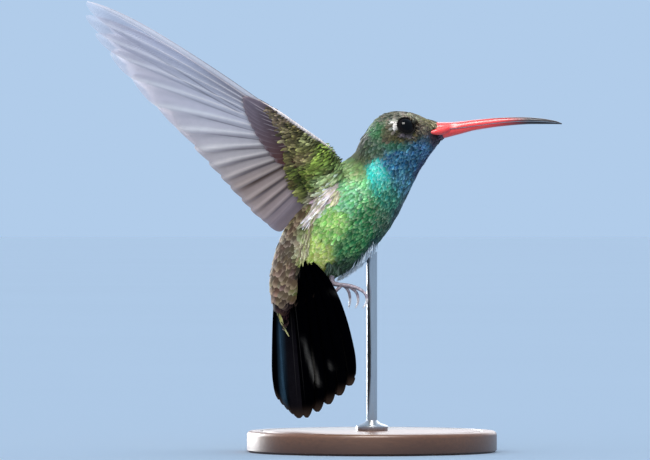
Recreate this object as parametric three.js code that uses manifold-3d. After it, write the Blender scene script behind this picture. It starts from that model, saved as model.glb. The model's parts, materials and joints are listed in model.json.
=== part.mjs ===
// A male broad-billed hummingbird, life size, hovering on a museum stand.
// Millimetres, +Z up, the bill towards +X and the bird's left towards +Y.
// The origin is the centre of the stand's underside.

import * as THREE from 'three';
import { mergeVertices } from 'three/addons/utils/BufferGeometryUtils.js';
import Module from 'manifold-3d';

const wasm = await Module();
wasm.setup();

// ---------------------------------------------------------------- driving sizes

const RADIANS = Math.PI / 180;
const GAP = 0.3; // between nodes that meet face to face
const SLIVER = 0.01; // finer detail than this is smoothed away after a union
const VANE_THICKNESS = 0.5;
const SHAFT_RISE = 0.1; // of the shaft above the vane on each side
const NARROWEST_TIP = 0.2; // share of a vane's width left at its tip

const BODY_RINGS = 40;
const BODY_SIDES = 22;

// Stations of the head, neck, breast and rump, from the face to the tail coverts. Each gives the
// outline's point on the back and on the underside (x, z), the half width, and how far the
// widest part sits towards the back.
const BODY_STATIONS = [
  { back: [10.2, 52.9], belly: [11.5, 50.0], half: 1.5, egg: 0 }, // round the bill's base
  { back: [8.6, 53.6], belly: [10.4, 48.6], half: 2.8, egg: 0.05 }, // lores
  { back: [6.2, 54.5], belly: [9.1, 46.8], half: 4.4, egg: 0.18 }, // eyes
  { back: [3.5, 54.7], belly: [7.8, 44.8], half: 5.2, egg: 0.24 }, // crown
  { back: [1.0, 53.8], belly: [6.7, 42.7], half: 5.4, egg: 0.2 }, // hind crown
  { back: [-1.2, 51.2], belly: [5.5, 40.2], half: 5.3, egg: 0.05 }, // nape
  { back: [-2.8, 48.3], belly: [4.2, 37.6], half: 5.6, egg: -0.05 }, // neck
  { back: [-4.8, 46.6], belly: [2.4, 34.8], half: 6.6, egg: 0.05 }, // shoulders
  { back: [-8.3, 43.9], belly: [-0.4, 31.5], half: 7.0, egg: 0.08 }, // breast
  { back: [-11.9, 39.6], belly: [-3.6, 28.9], half: 5.9, egg: 0.05 }, // belly
  { back: [-14.8, 34.3], belly: [-7.4, 26.9], half: 3.3, egg: 0 }, // vent
  { back: [-16.4, 28.8], belly: [-10.2, 25.0], half: 2.7, egg: 0 }, // rump
  { back: [-16.2, 24.3], belly: [-12.3, 23.0], half: 2.2, egg: 0 }, // tail coverts
  { back: [-15.0, 21.6], belly: [-13.2, 21.2], half: 0.8, egg: 0 }, // their tips
];

// Straight cuts across the body, each through two points (x, z) of the outline.
const CHIN_TO_NAPE = { back: [-1.9, 49.8], belly: [8.3, 45.4] };
const NECK_TO_BREAST = { back: [-3.9, 47.0], belly: [5.1, 39.4] };
const VENT_TO_RUMP = { back: [-16.7, 29.6], belly: [-8.0, 25.0] };

const BILL = {
  sides: 14,
  // x, height of the mouth line, half height above and below it, half width
  stations: [
    { x: 8.4, z: 51.3, above: 1.45, below: 1.6, half: 1.65 },
    { x: 11.0, z: 51.6, above: 1.25, below: 1.4, half: 1.55 },
    { x: 13.3, z: 51.9, above: 0.95, below: 0.8, half: 1.2 },
    { x: 16.2, z: 52.4, above: 0.8, below: 0.62, half: 0.98 },
    { x: 20.0, z: 52.8, above: 0.68, below: 0.58, half: 0.86 },
    { x: 24.3, z: 52.95, above: 0.6, below: 0.5, half: 0.74 },
    { x: 27.4, z: 52.85, above: 0.46, below: 0.38, half: 0.56 },
    { x: 29.4, z: 52.68, above: 0.28, below: 0.22, half: 0.34 },
    { x: 30.4, z: 52.5, above: 0.1, below: 0.08, half: 0.1 },
  ],
  mouthGroove: 0.14,
  nostril: { centre: [12.9, 1.28, 52.3], slope: 0.15, long: 1.0, high: 0.24, deep: 0.3 },
};

const EYE = {
  centre: [5.0, 3.62, 51.45],
  radius: 2,
  lid: { radius: 2.6, rise: 0.2 }, // the rim round the eye, and how far it stands out
};

// Wing attitude: how far the spread wing is raised above level, swept behind straight out, and
// its rear edge dropped.
const WING = {
  shoulder: [-4.6, 5.4, 46.0],
  raiseDeg: 22,
  sweepDeg: 41.5,
  pitchDeg: 52,
  length: 60,
  tipRise: 2.5, // how far the tip bends towards the back of the wing
  innerTuck: 1.6, // how far the inner rear edge is drawn over the back
  handLength: 18,
};
const PRIMARIES = 10;
const SECONDARIES = 6;

const TAIL = {
  base: [-13.5, 0, 32.4],
  leanDeg: 5, // tips forward of straight down
  twistDeg: 33, // the right side turned forward
  cup: 2.2, // outer feathers of the right side drawn forward
  halfWidthAtBase: 2,
  pairs: 5,
  innerLength: 27.1,
  outerLength: 25.8,
  baseAngleDeg: { right: 14, left: 10 }, // between neighbours where they leave the body
  tipAngleDeg: { right: 1.2, left: 2.2 }, // and at their tips
  coverts: [
    { number: 6, middle: -0.7, start: 4.2, reach: 7.8, low: 0.55, swell: 2.1, spreadDeg: 6 },
    { number: 4, middle: 0.6, start: 3.2, reach: 5.5, low: -1.1, swell: 0.6, spreadDeg: 9 },
  ],
};

const LEG = {
  hip: [-6.4, 1.9, 29.2],
  ankle: [-6.3, 2.4, 27.2],
  toeRoot: [-5.1, 2.8, 26.7],
  toes: [
    { spread: 0.9, reach: 4.3 },
    { spread: 0.1, reach: 2.9 },
    { spread: -0.8, reach: 1.6 },
  ],
  shankRadius: 0.5,
  toeRadius: 0.34,
  sides: 6,
};

const STAND = {
  radius: 20,
  thickness: 3.4,
  bevel: 0.7,
  rodRadius: 0.85,
  rodTop: [0, 0, 32],
  footRadius: 2.6,
  footHeight: 1.1,
};

// ---------------------------------------------------------------- materials

const finish = (color, roughness, metalness = 0) =>
  new THREE.MeshStandardMaterial({ color, roughness, metalness });
const MATERIALS = {
  crown: finish(0x4c5a34, 0.6),
  gorget: finish(0x1d5c8c, 0.35, 0.3),
  body: finish(0x3f9a4a, 0.4, 0.3),
  wing: finish(0x8f8898, 0.6),
  tail: finish(0x10121a, 0.35, 0.2),
  bill: finish(0xd23a34, 0.35),
  eye: finish(0x0b0706, 0.1),
  leg: finish(0x7d7478, 0.6),
  base: finish(0x2e2019, 0.4),
  rod: finish(0xb8b8b8, 0.25, 0.9),
};

// ---------------------------------------------------------------- solids from meshes

// A closed triangle mesh as a manifold-3d solid, turned to face outwards.
function solidOf(points, faces) {
  const vertProperties = new Float32Array(points.flatMap((p) => [p.x, p.y, p.z]));
  let volume = 0;
  for (const [a, b, c] of faces) {
    volume += points[a].dot(new THREE.Vector3().crossVectors(points[b], points[c]));
  }
  const triVerts = new Uint32Array(faces.flatMap(([a, b, c]) => (volume > 0 ? [a, b, c] : [a, c, b])));
  return new wasm.Manifold(new wasm.Mesh({ numProp: 3, vertProperties, triVerts }));
}

// A three.js geometry as a manifold-3d solid.
function solidFrom(geometry) {
  const plain = geometry.clone();
  plain.deleteAttribute('normal');
  plain.deleteAttribute('uv');
  const merged = mergeVertices(plain, 1e-4);
  return new wasm.Manifold(
    new wasm.Mesh({
      numProp: 3,
      vertProperties: new Float32Array(merged.attributes.position.array),
      triVerts: new Uint32Array(merged.index.array),
    }),
  );
}

function geometryOf(solid) {
  const mesh = solid.getMesh();
  const geometry = new THREE.BufferGeometry();
  geometry.setAttribute('position', new THREE.BufferAttribute(mesh.vertProperties, 3));
  geometry.setIndex(new THREE.BufferAttribute(mesh.triVerts, 1));
  geometry.computeVertexNormals();
  return geometry;
}

// The largest closed body of a solid, so that no loose scrap is kept, without its slivers.
function largest(solid) {
  const body = solid.decompose().reduce((most, one) => (one.volume() > most.volume() ? one : most));
  return body.asOriginal().simplify(SLIVER);
}

const joined = (solids) => wasm.Manifold.union(solids);

// A closed skin over a row of rings with the same number of points.
function loft(rings) {
  const sides = rings[0].length;
  const points = rings.flat();
  const faces = [];
  for (let i = 0; i + 1 < rings.length; i++) {
    for (let j = 0; j < sides; j++) {
      const a = i * sides + j;
      const b = i * sides + ((j + 1) % sides);
      faces.push([a, b, b + sides], [a, b + sides, a + sides]);
    }
  }
  const lastRing = (rings.length - 1) * sides;
  for (const start of [0, lastRing]) {
    const centre = new THREE.Vector3();
    for (let j = 0; j < sides; j++) centre.addScaledVector(points[start + j], 1 / sides);
    points.push(centre);
    for (let j = 0; j < sides; j++) {
      const a = start + j;
      const b = start + ((j + 1) % sides);
      faces.push(start === 0 ? [b, a, points.length - 1] : [a, b, points.length - 1]);
    }
  }
  return solidOf(points, faces);
}

// A round tapering tube through the given points, with one radius for each.
function tube(path, radii, sides) {
  const curve = new THREE.CatmullRomCurve3(path);
  const steps = 2 * (path.length - 1);
  const frames = curve.computeFrenetFrames(steps, false);
  const rings = [];
  for (let i = 0; i <= steps; i++) {
    const t = i / steps;
    const centre = curve.getPoint(t);
    const radius = smooth(radii, t);
    rings.push(
      Array.from({ length: sides }, (_, j) => {
        const angle = (2 * Math.PI * j) / sides;
        return centre
          .clone()
          .addScaledVector(frames.normals[i], radius * Math.cos(angle))
          .addScaledVector(frames.binormals[i], radius * Math.sin(angle));
      }),
    );
  }
  return loft(rings);
}

// Catmull-Rom value through equally spaced numbers, for t from 0 to 1.
function smooth(values, t) {
  const x = t * (values.length - 1);
  const i = Math.min(Math.floor(x), values.length - 2);
  const f = x - i;
  const at = (k) => values[Math.min(Math.max(k, 0), values.length - 1)];
  const [a, b, c, d] = [at(i - 1), at(i), at(i + 1), at(i + 2)];
  const slope = c - a;
  const square = 2 * a - 5 * b + 4 * c - d;
  const cube = 3 * b - a - 3 * c + d;
  return 0.5 * (2 * b + slope * f + square * f ** 2 + cube * f ** 3);
}

// ---------------------------------------------------------------- vanes

// A thin closed slab with a raised middle. Each row holds its points from the leading to the
// trailing edge as [u, v, w] in its fan's own flat coordinates, and place(u, v, w) puts a point
// of the fan in space. Both faces are split into triangles alike.
function slab(rows, thickness, place) {
  const COLUMNS = 3;
  const points = [];
  for (const row of rows) {
    row.forEach(([u, v, w], column) => {
      const half = thickness / 2 + (column === 1 ? SHAFT_RISE : 0);
      points.push(place(u, v, w + half), place(u, v, w - half));
    });
  }
  const at = (row, column, face) => (row * COLUMNS + column) * 2 + face;
  const faces = [];
  const quad = (a, b, c, d) => faces.push([a, b, c], [a, c, d]);
  const last = rows.length - 1;
  for (let i = 0; i < last; i++) {
    for (let j = 0; j + 1 < COLUMNS; j++) {
      const [a, b, c, d] = [at(i, j, 0), at(i, j + 1, 0), at(i + 1, j + 1, 0), at(i + 1, j, 0)];
      faces.push([a, b, c], [a, c, d], [a + 1, c + 1, b + 1], [a + 1, d + 1, c + 1]);
    }
    quad(at(i, 0, 0), at(i + 1, 0, 0), at(i + 1, 0, 1), at(i, 0, 1));
    quad(at(i, 2, 1), at(i + 1, 2, 1), at(i + 1, 2, 0), at(i, 2, 0));
  }
  for (let j = 0; j + 1 < COLUMNS; j++) {
    quad(at(0, j, 1), at(0, j + 1, 1), at(0, j + 1, 0), at(0, j, 0));
    quad(at(last, j, 0), at(last, j + 1, 0), at(last, j + 1, 1), at(last, j, 1));
  }
  return solidOf(points, faces);
}

// One feather's vane, widening from its root and rounded at its tip: angle(t) is the heading of
// its shaft and lift(t) its height, from root to tip.
function vane(feather, place) {
  const { root, angle, length, lead, trail, thickness, slope, bluntness, rows, lift = () => 0 } = feather;
  const width = (t) => {
    const opening = 0.3 + 0.7 * Math.sin((Math.PI / 2) * Math.min(1, t / 0.4));
    const pastBlunt = Math.max(0, (t - 1 + bluntness) / bluntness);
    const rounding = Math.sqrt(Math.max(0, 1 - pastBlunt ** 2));
    return opening * Math.max(rounding, NARROWEST_TIP);
  };
  const stations = [];
  let [u, v] = root;
  let before = 0;
  for (let i = 0; i < rows; i++) {
    const t = 1 - (1 - i / (rows - 1)) ** 1.7;
    const heading = angle(t);
    u += (t - before) * length * Math.cos(heading);
    v += (t - before) * length * Math.sin(heading);
    before = t;
    const across = [-Math.sin(heading), Math.cos(heading)];
    stations.push(
      [-lead * width(t), 0, trail * width(t)].map((side) => [
        u + side * across[0],
        v + side * across[1],
        lift(t) - slope * side,
      ]),
    );
  }
  return slab(stations, thickness, place);
}

// ---------------------------------------------------------------- head, neck and torso

function bodyPoint(t, angle, grow) {
  const value = (pick) => smooth(BODY_STATIONS.map(pick), t);
  const back = new THREE.Vector3(value((s) => s.back[0]), 0, value((s) => s.back[1]));
  const belly = new THREE.Vector3(value((s) => s.belly[0]), 0, value((s) => s.belly[1]));
  const centre = back.clone().add(belly).multiplyScalar(0.5);
  const up = back.clone().sub(belly);
  const halfDepth = up.length() / 2 + grow;
  up.normalize();
  const halfWidth = (value((s) => s.half) + grow) * (1 + value((s) => s.egg) * Math.cos(angle));
  return centre
    .addScaledVector(up, halfDepth * Math.cos(angle))
    .add(new THREE.Vector3(0, halfWidth * Math.sin(angle), 0));
}

// The whole feathered body from face to tail coverts, grown all round by the given amount.
function bodySolid(grow = 0) {
  const rings = [];
  for (let i = 0; i <= BODY_RINGS; i++) {
    const t = i / BODY_RINGS;
    rings.push(
      Array.from({ length: BODY_SIDES }, (_, j) => bodyPoint(t, (2 * Math.PI * j) / BODY_SIDES, grow)),
    );
  }
  if (grow > 0) {
    const ends = [rings[0], rings[rings.length - 1]];
    const inner = [rings[1], rings[rings.length - 2]];
    ends.forEach((ring, k) => {
      const away = ring[0].clone().sub(inner[k][0]).setY(0).normalize().multiplyScalar(grow);
      ring.forEach((p) => p.add(away));
    });
  }
  return loft(rings);
}

// A large block on one side of a straight cut: side 1 holds the rear, side -1 the front.
function blockBeside({ back, belly }, side) {
  const REACH = 200;
  const [dx, dz] = [belly[0] - back[0], belly[1] - back[1]];
  const across = new THREE.Vector3(dz, 0, -dx).normalize().multiplyScalar(side);
  const block = new THREE.BoxGeometry(REACH, REACH, REACH);
  block.rotateY(-Math.atan2(across.z, across.x));
  const middle = new THREE.Vector3((back[0] + belly[0]) / 2, 0, (back[1] + belly[1]) / 2);
  middle.addScaledVector(across, REACH / 2 + GAP / 2);
  block.translate(middle.x, middle.y, middle.z);
  return solidFrom(block);
}

function ball(radius, centre) {
  const sphere = new THREE.SphereGeometry(radius, 18, 11);
  sphere.rotateX(Math.PI / 2);
  sphere.translate(...centre);
  return solidFrom(sphere);
}

const eyeCentre = (side) => [EYE.centre[0], side * EYE.centre[1], EYE.centre[2]];

// The head, with a low rim of lid round a socket for each eye.
function headSolid(whole) {
  let head = whole.intersect(blockBeside(CHIN_TO_NAPE, -1));
  const lidSkin = bodySolid(EYE.lid.rise);
  for (const side of [-1, 1]) {
    const lid = lidSkin.intersect(ball(EYE.lid.radius, eyeCentre(side)));
    head = head.add(lid).subtract(ball(EYE.radius + GAP, eyeCentre(side)));
  }
  return largest(head);
}

// ---------------------------------------------------------------- bill

// The section has the mouth line as a groove along each side.
function billSolid(grownBody) {
  const rings = BILL.stations.map(({ x, z, above, below, half }) => {
    const groove = Math.min(BILL.mouthGroove, half * 0.3);
    const profile = [
      [0, above],
      [0.55 * half, 0.85 * above],
      [0.9 * half, 0.5 * above],
      [half, 0.1 * above],
      [half - groove, 0],
      [0.94 * half, -0.12 * below],
      [0.8 * half, -0.6 * below],
      [0, -below],
    ];
    const left = profile.slice(1, -1).reverse();
    return [
      ...profile.map(([y, h]) => new THREE.Vector3(x, y, z + h)),
      ...left.map(([y, h]) => new THREE.Vector3(x, -y, z + h)),
    ];
  });
  let bill = loft(rings).subtract(grownBody);
  const { centre, slope, long, high, deep } = BILL.nostril;
  for (const side of [-1, 1]) {
    const slit = new THREE.SphereGeometry(1, 10, 6);
    slit.scale(long, deep, high);
    slit.rotateY(-slope);
    slit.translate(centre[0], side * centre[1], centre[2]);
    bill = bill.subtract(solidFrom(slit));
  }
  return largest(bill);
}

// ---------------------------------------------------------------- wings

// Axes of the right wing in space: along the span, towards the rear edge, and its upper face.
function wingAxes() {
  const [raise, sweep, pitch] = [WING.raiseDeg, WING.sweepDeg, WING.pitchDeg].map((a) => a * RADIANS);
  const span = new THREE.Vector3(
    -Math.cos(raise) * Math.sin(sweep),
    -Math.cos(raise) * Math.cos(sweep),
    Math.sin(raise),
  );
  const level = new THREE.Vector3(span.y, -span.x, 0).normalize();
  const down = new THREE.Vector3().crossVectors(span, level);
  const chord = level.multiplyScalar(Math.cos(pitch)).addScaledVector(down, Math.sin(pitch));
  const upper = new THREE.Vector3().crossVectors(chord, span);
  return { span, chord, upper };
}

// Puts a point of the flat wing in space: side 1 is the left wing, -1 the right.
function wingPlacer(side) {
  const { span, chord, upper } = wingAxes();
  const [x, y, z] = WING.shoulder;
  return (u, v, w) => {
    const bend = WING.tipRise * (u / WING.length) ** 2;
    const tuck = WING.innerTuck * Math.max(0, 1 - u / 22) * Math.max(0, v / 15) ** 1.5;
    const point = new THREE.Vector3(x, -y, z)
      .addScaledVector(span, u)
      .addScaledVector(chord, v)
      .addScaledVector(upper, w + bend + tuck);
    return side < 0 ? point : point.setY(-point.y);
  };
}

// Flight feathers, numbered from the wing's tip inwards, and their tips' places along the span.
const REMEX_TIPS_U = [61.6, 60.2, 56.2, 51, 45.2, 39.2, 33.4, 28, 23.2, 19, 15.4, 12.2, 9.2, 6.4, 3.8, 1.4];
const rearEdge = (u) => 16.3 - 0.215 * u - 1.9 * Math.max(0, (u - 52) / 10) ** 2;

// Root, length and heading of flight feather i, which may also lie between two of them.
function remex(i) {
  const hand = Math.min(i / (PRIMARIES - 1), 1);
  const forearm = Math.max(i - PRIMARIES + 1, 0) / SECONDARIES;
  const root = [
    WING.handLength - 8 * hand - 7.5 * forearm,
    -0.75 + 2.8 * hand ** 1.2 + 1.8 * forearm,
  ];
  const tipU = smooth(REMEX_TIPS_U, i / (REMEX_TIPS_U.length - 1));
  const tip = [tipU, rearEdge(tipU) - Math.max(0, 1 - i)];
  const [du, dv] = [tip[0] - root[0], tip[1] - root[1]];
  return { root, length: Math.hypot(du, dv), heading: Math.atan2(dv, du) };
}

function flightFeathers(place) {
  return REMEX_TIPS_U.map((_, i) => {
    const { root, length, heading } = remex(i);
    const sweepBack = i < PRIMARIES ? 0.04 : 0;
    return vane(
      {
        root,
        length,
        angle: (t) => heading + sweepBack * (4 * t ** 3 - 1),
        lead: i === 0 ? 0.9 : 1.35 + 0.05 * i,
        trail: 3.3 - 0.05 * i,
        thickness: VANE_THICKNESS,
        slope: 0.1,
        bluntness: i < 4 ? 0.3 : 0.22,
        rows: 6,
      },
      place,
    );
  });
}

// One row of coverts over the flight feathers' roots, thick enough to show on both faces.
function wingCoverts({ number, reach, thickness, width }, place) {
  return Array.from({ length: number }, (_, k) => {
    const i = (k * (REMEX_TIPS_U.length - 1)) / (number - 1);
    const { root, length, heading } = remex(i);
    const share = reach[0] + (reach[1] - reach[0]) * Math.min(1, i / PRIMARIES);
    const back = 0.8;
    return vane(
      {
        root: [root[0] - back * Math.cos(heading), root[1] - back * Math.sin(heading)],
        length: share * length + back,
        angle: () => heading,
        lead: width,
        trail: width,
        thickness,
        slope: 0.1,
        bluntness: 0.4,
        rows: 4,
      },
      place,
    );
  });
}

function wingSolid(side, grownBody) {
  const place = wingPlacer(side);
  const pieces = [
    ...flightFeathers(place),
    ...wingCoverts({ number: 12, reach: [0.22, 0.42], thickness: 1.0, width: 1.6 }, place),
    ...wingCoverts({ number: 9, reach: [0.1, 0.24], thickness: 1.6, width: 1.5 }, place),
  ];

  // The arm and hand under them, thick at the shoulder and thin at the wrist.
  const arm = [
    { u: -2.5, v: 3.6, chord: 4.2, thick: 2.3 },
    { u: 2, v: 3.0, chord: 3.9, thick: 1.9 },
    { u: 8, v: 1.4, chord: 2.6, thick: 1.3 },
    { u: 14, v: 0.1, chord: 1.5, thick: 0.9 },
    { u: 19, v: -0.8, chord: 0.8, thick: 0.5 },
  ];
  const sides = 12;
  pieces.push(
    loft(
      arm.map(({ u, v, chord, thick }) =>
        Array.from({ length: sides }, (_, j) => {
          const angle = (2 * Math.PI * j) / sides;
          return place(u, v + chord * Math.cos(angle), thick * Math.sin(angle));
        }),
      ),
    ),
  );
  return largest(joined(pieces).subtract(grownBody));
}

// ---------------------------------------------------------------- tail

// Puts a point of the flat tail fan in space: p down the tail, q towards the bird's right and
// w towards its upper face.
function tailPlacer() {
  const [lean, twist] = [TAIL.leanDeg * RADIANS, TAIL.twistDeg * RADIANS];
  const down = new THREE.Vector3(Math.sin(lean), 0, -Math.cos(lean));
  const right = new THREE.Vector3(Math.sin(twist), -Math.cos(twist), 0);
  right.addScaledVector(down, -right.dot(down)).normalize();
  const upper = new THREE.Vector3().crossVectors(down, right);
  const base = new THREE.Vector3(...TAIL.base);
  return (p, q, w) => {
    const cup = TAIL.cup * Math.min(1.6, (Math.max(q, 0) / 10) ** 2);
    return base
      .clone()
      .addScaledVector(down, p)
      .addScaledVector(right, q)
      .addScaledVector(upper, w - cup);
  };
}

function tailSolid(whole, grownTorso) {
  const place = tailPlacer();
  const pieces = [whole.intersect(blockBeside(VENT_TO_RUMP, 1))];
  for (const side of [-1, 1]) {
    for (let i = 0; i < TAIL.pairs; i++) {
      const rank = i + 0.5;
      const share = i / (TAIL.pairs - 1);
      const half = side > 0 ? 'right' : 'left';
      const baseAngle = TAIL.baseAngleDeg[half] * rank * RADIANS;
      const tipAngle = TAIL.tipAngleDeg[half] * rank * RADIANS;
      const outerVane = 3.1 - 1.2 * share;
      const innerVane = 3.2 + 0.2 * share;
      pieces.push(
        vane(
          {
            root: [0, (side * rank * TAIL.halfWidthAtBase) / TAIL.pairs],
            length: TAIL.innerLength + (TAIL.outerLength - TAIL.innerLength) * share,
            angle: (t) => side * (tipAngle + (baseAngle - tipAngle) * (1 - t) ** 2.4),
            lead: side > 0 ? innerVane : outerVane,
            trail: side > 0 ? outerVane : innerVane,
            thickness: VANE_THICKNESS,
            slope: -side * 0.1,
            lift: () => -0.25 * i,
            bluntness: 0.24,
            rows: 7,
          },
          place,
        ),
      );
    }
  }

  // Upper tail coverts, which come down off the rump on to the fan, and shorter ones beneath.
  for (const { number, middle, start, reach, low, swell, spreadDeg } of TAIL.coverts) {
    for (let i = 0; i < number; i++) {
      const rank = i - (number - 1) / 2;
      pieces.push(
        vane(
          {
            root: [start, middle + rank * 0.8],
            length: reach - 0.35 * rank ** 2,
            angle: (t) => rank * spreadDeg * RADIANS * (1 - 0.5 * t),
            lead: 1.4,
            trail: 1.4,
            thickness: VANE_THICKNESS,
            slope: 0.12 * rank,
            lift: (t) => {
              const onRump = Math.cos((Math.PI / 2) * t ** 2);
              return low + swell * onRump - (0.12 + 0.1 * onRump) * rank ** 2;
            },
            bluntness: 0.45,
            rows: 5,
          },
          place,
        ),
      );
    }
  }
  return largest(joined(pieces).subtract(grownTorso));
}

// ---------------------------------------------------------------- legs

// A feathered thigh, a short shank and four curled toes with claws; side 1 is the left.
function legSolid(side, grownBody) {
  const at = ([x, y, z]) => new THREE.Vector3(x, side * y, z);
  const { hip, ankle, toeRoot, shankRadius, toeRadius, sides } = LEG;
  const pieces = [
    tube([at(hip), at(ankle), at(toeRoot)], [0.95, shankRadius + 0.1, shankRadius], 8),
  ];
  for (const { spread, reach } of LEG.toes) {
    const [x, y, z] = toeRoot;
    const path = [
      [x - 0.5, y, z + 0.1],
      [x + 0.45 * reach, y + 0.5 * spread, z - 0.2],
      [x + 0.9 * reach, y + 0.85 * spread, z - 1.2],
      [x + reach, y + spread, z - 2.6],
      [x + 0.85 * reach, y + spread, z - 3.7],
    ].map(at);
    pieces.push(tube(path, [toeRadius, toeRadius, 0.9 * toeRadius, 0.8 * toeRadius, 0.08], sides));
  }
  const [x, y, z] = toeRoot;
  const hindToe = [
    [x + 0.3, y, z],
    [x - 0.9, y, z - 1.2],
    [x - 1.6, y, z - 2.3],
    [x - 1.4, y, z - 3.4],
  ].map(at);
  pieces.push(tube(hindToe, [toeRadius, toeRadius, 0.8 * toeRadius, 0.08], sides));
  return largest(joined(pieces).subtract(grownBody));
}

// ---------------------------------------------------------------- stand

function turned(profile, segments) {
  const outline = profile.map(([radius, z]) => new THREE.Vector2(radius, z));
  return new THREE.LatheGeometry(outline, segments).rotateX(Math.PI / 2);
}

function baseGeometry() {
  const { radius, thickness, bevel } = STAND;
  const profile = [
    [0, 0],
    [radius, 0],
    [radius, thickness - bevel],
    [radius - bevel, thickness],
    [0, thickness],
  ];
  return turned(profile, 64);
}

function rodSolid(grownBody) {
  const { rodRadius, footRadius, footHeight, thickness, rodTop } = STAND;
  const low = thickness + GAP;
  const profile = [
    [0, low],
    [footRadius, low],
    [footRadius, low + 0.5 * footHeight],
    [rodRadius, low + footHeight],
    [rodRadius, rodTop[2] + 3],
    [0, rodTop[2] + 3],
  ];
  return solidFrom(turned(profile, 20)).subtract(grownBody);
}

// ---------------------------------------------------------------- the model

const whole = bodySolid();
const grown = bodySolid(GAP + 0.05);
const torso = largest(
  whole.intersect(blockBeside(NECK_TO_BREAST, 1)).intersect(blockBeside(VENT_TO_RUMP, -1)),
);
const neck = largest(
  whole.intersect(blockBeside(CHIN_TO_NAPE, 1)).intersect(blockBeside(NECK_TO_BREAST, -1)),
);
const grownTorso = grown.intersect(blockBeside(VENT_TO_RUMP, -1));
const tail = tailSolid(whole, grownTorso);

const bird = new THREE.Group();
function add(name, solidOrGeometry, material) {
  const geometry = solidOrGeometry.isBufferGeometry ? solidOrGeometry : geometryOf(solidOrGeometry);
  const mesh = new THREE.Mesh(geometry, material);
  mesh.name = name;
  bird.add(mesh);
}

add('head', headSolid(whole), MATERIALS.crown);
add('neck', neck, MATERIALS.gorget);
add('torso', torso, MATERIALS.body);
add('bill', billSolid(grown), MATERIALS.bill);
add('tail', tail, MATERIALS.tail);
for (const [suffix, side] of [['left', 1], ['right', -1]]) {
  add(`eye_${suffix}`, ball(EYE.radius, eyeCentre(side)), MATERIALS.eye);
  add(`wing_${suffix}`, wingSolid(side, grown), MATERIALS.wing);
  add(`leg_${suffix}`, legSolid(side, grown), MATERIALS.leg);
}
add('stand_base', baseGeometry(), MATERIALS.base);
add('stand_rod', rodSolid(grown), MATERIALS.rod);

export default bird;
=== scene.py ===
"""Dresses a life-size male broad-billed hummingbird that hovers on a turned wooden stand.

Blender works in metres with +Z up, the bill towards +X and the bird's left towards +Y. Sizes in
this script are in millimetres, as a small bird is measured, and MeshDraft turns them into metres.
Colours are written as display values from 0 to 255, and those of the floor and the lights as
linear ones from 0 to 1.
"""

import json
import logging
import math
from dataclasses import dataclass, field
from enum import Enum
from typing import Callable, Sequence

import bmesh
import bpy
import numpy as np
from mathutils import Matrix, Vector

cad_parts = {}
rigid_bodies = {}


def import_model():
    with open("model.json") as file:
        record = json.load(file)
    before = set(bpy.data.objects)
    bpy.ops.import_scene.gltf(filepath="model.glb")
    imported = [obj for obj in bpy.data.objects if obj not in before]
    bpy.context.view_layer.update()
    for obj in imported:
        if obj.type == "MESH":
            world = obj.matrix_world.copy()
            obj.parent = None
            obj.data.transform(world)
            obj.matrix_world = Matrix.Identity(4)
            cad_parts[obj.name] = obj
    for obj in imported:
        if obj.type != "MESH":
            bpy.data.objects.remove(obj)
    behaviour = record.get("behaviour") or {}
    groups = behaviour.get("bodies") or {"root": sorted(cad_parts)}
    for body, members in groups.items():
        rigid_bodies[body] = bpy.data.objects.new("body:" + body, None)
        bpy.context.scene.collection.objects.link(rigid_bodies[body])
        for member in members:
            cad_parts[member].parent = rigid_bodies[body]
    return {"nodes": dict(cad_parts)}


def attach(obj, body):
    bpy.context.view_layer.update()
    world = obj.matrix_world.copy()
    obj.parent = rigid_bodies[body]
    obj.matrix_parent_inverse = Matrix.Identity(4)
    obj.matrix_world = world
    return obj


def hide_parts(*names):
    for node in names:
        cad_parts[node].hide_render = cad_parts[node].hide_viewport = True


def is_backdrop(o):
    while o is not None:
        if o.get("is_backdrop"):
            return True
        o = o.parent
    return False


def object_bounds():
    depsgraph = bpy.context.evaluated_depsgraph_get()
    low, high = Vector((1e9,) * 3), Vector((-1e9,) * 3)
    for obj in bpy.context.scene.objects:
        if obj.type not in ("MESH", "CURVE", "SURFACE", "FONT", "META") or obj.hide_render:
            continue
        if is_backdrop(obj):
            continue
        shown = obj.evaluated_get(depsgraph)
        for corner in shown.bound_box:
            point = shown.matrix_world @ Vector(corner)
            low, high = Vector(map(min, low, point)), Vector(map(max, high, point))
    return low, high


log = logging.getLogger("hummingbird")

MM = 0.001
CREASE = math.radians(60)
HALF_TURN = math.pi
FULL_TURN = 2 * math.pi
SEED = 11
BODY = "root"
BAKE_MAP = "OFBake"
VANE_MAP = "Vane"

Array = np.ndarray
Colour = tuple[float, float, float]
Inputs = dict[str, object]


class Side(Enum):
    """Which side of the bird a paired piece is on, as the sign of its y."""

    LEFT = 1
    RIGHT = -1

    @property
    def word(self) -> str:
        """The side's name in piece names."""
        return self.name.lower()


class Slot(Enum):
    """The record's material slots."""

    CROWN = "crown_feathers"
    THROAT = "throat_feathers"
    BODY = "body_feathers"
    WING = "wing_feathers"
    TAIL = "tail_feathers"
    BILL = "bill"
    EYE = "eye"
    LEG = "leg"
    BASE = "stand_base"
    ROD = "stand_rod"


# ------------------------------------------------------------------ small tools


def srgb(red: float, green: float, blue: float) -> Colour:
    """Turns a display colour into the linear one that shaders use.

    Args:
        red, green, blue: Display values from 0 to 255.

    Returns:
        Values from 0 to 1.
    """
    values = []
    for value in (red, green, blue):
        share = value / 255
        values.append(share / 12.92 if share <= 0.04045 else ((share + 0.055) / 1.055) ** 2.4)
    return tuple(values)


def palette(colours: Sequence[Colour]) -> Array:
    """Display colours as rows of linear ones."""
    return np.array([srgb(*colour) for colour in colours])


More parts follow.
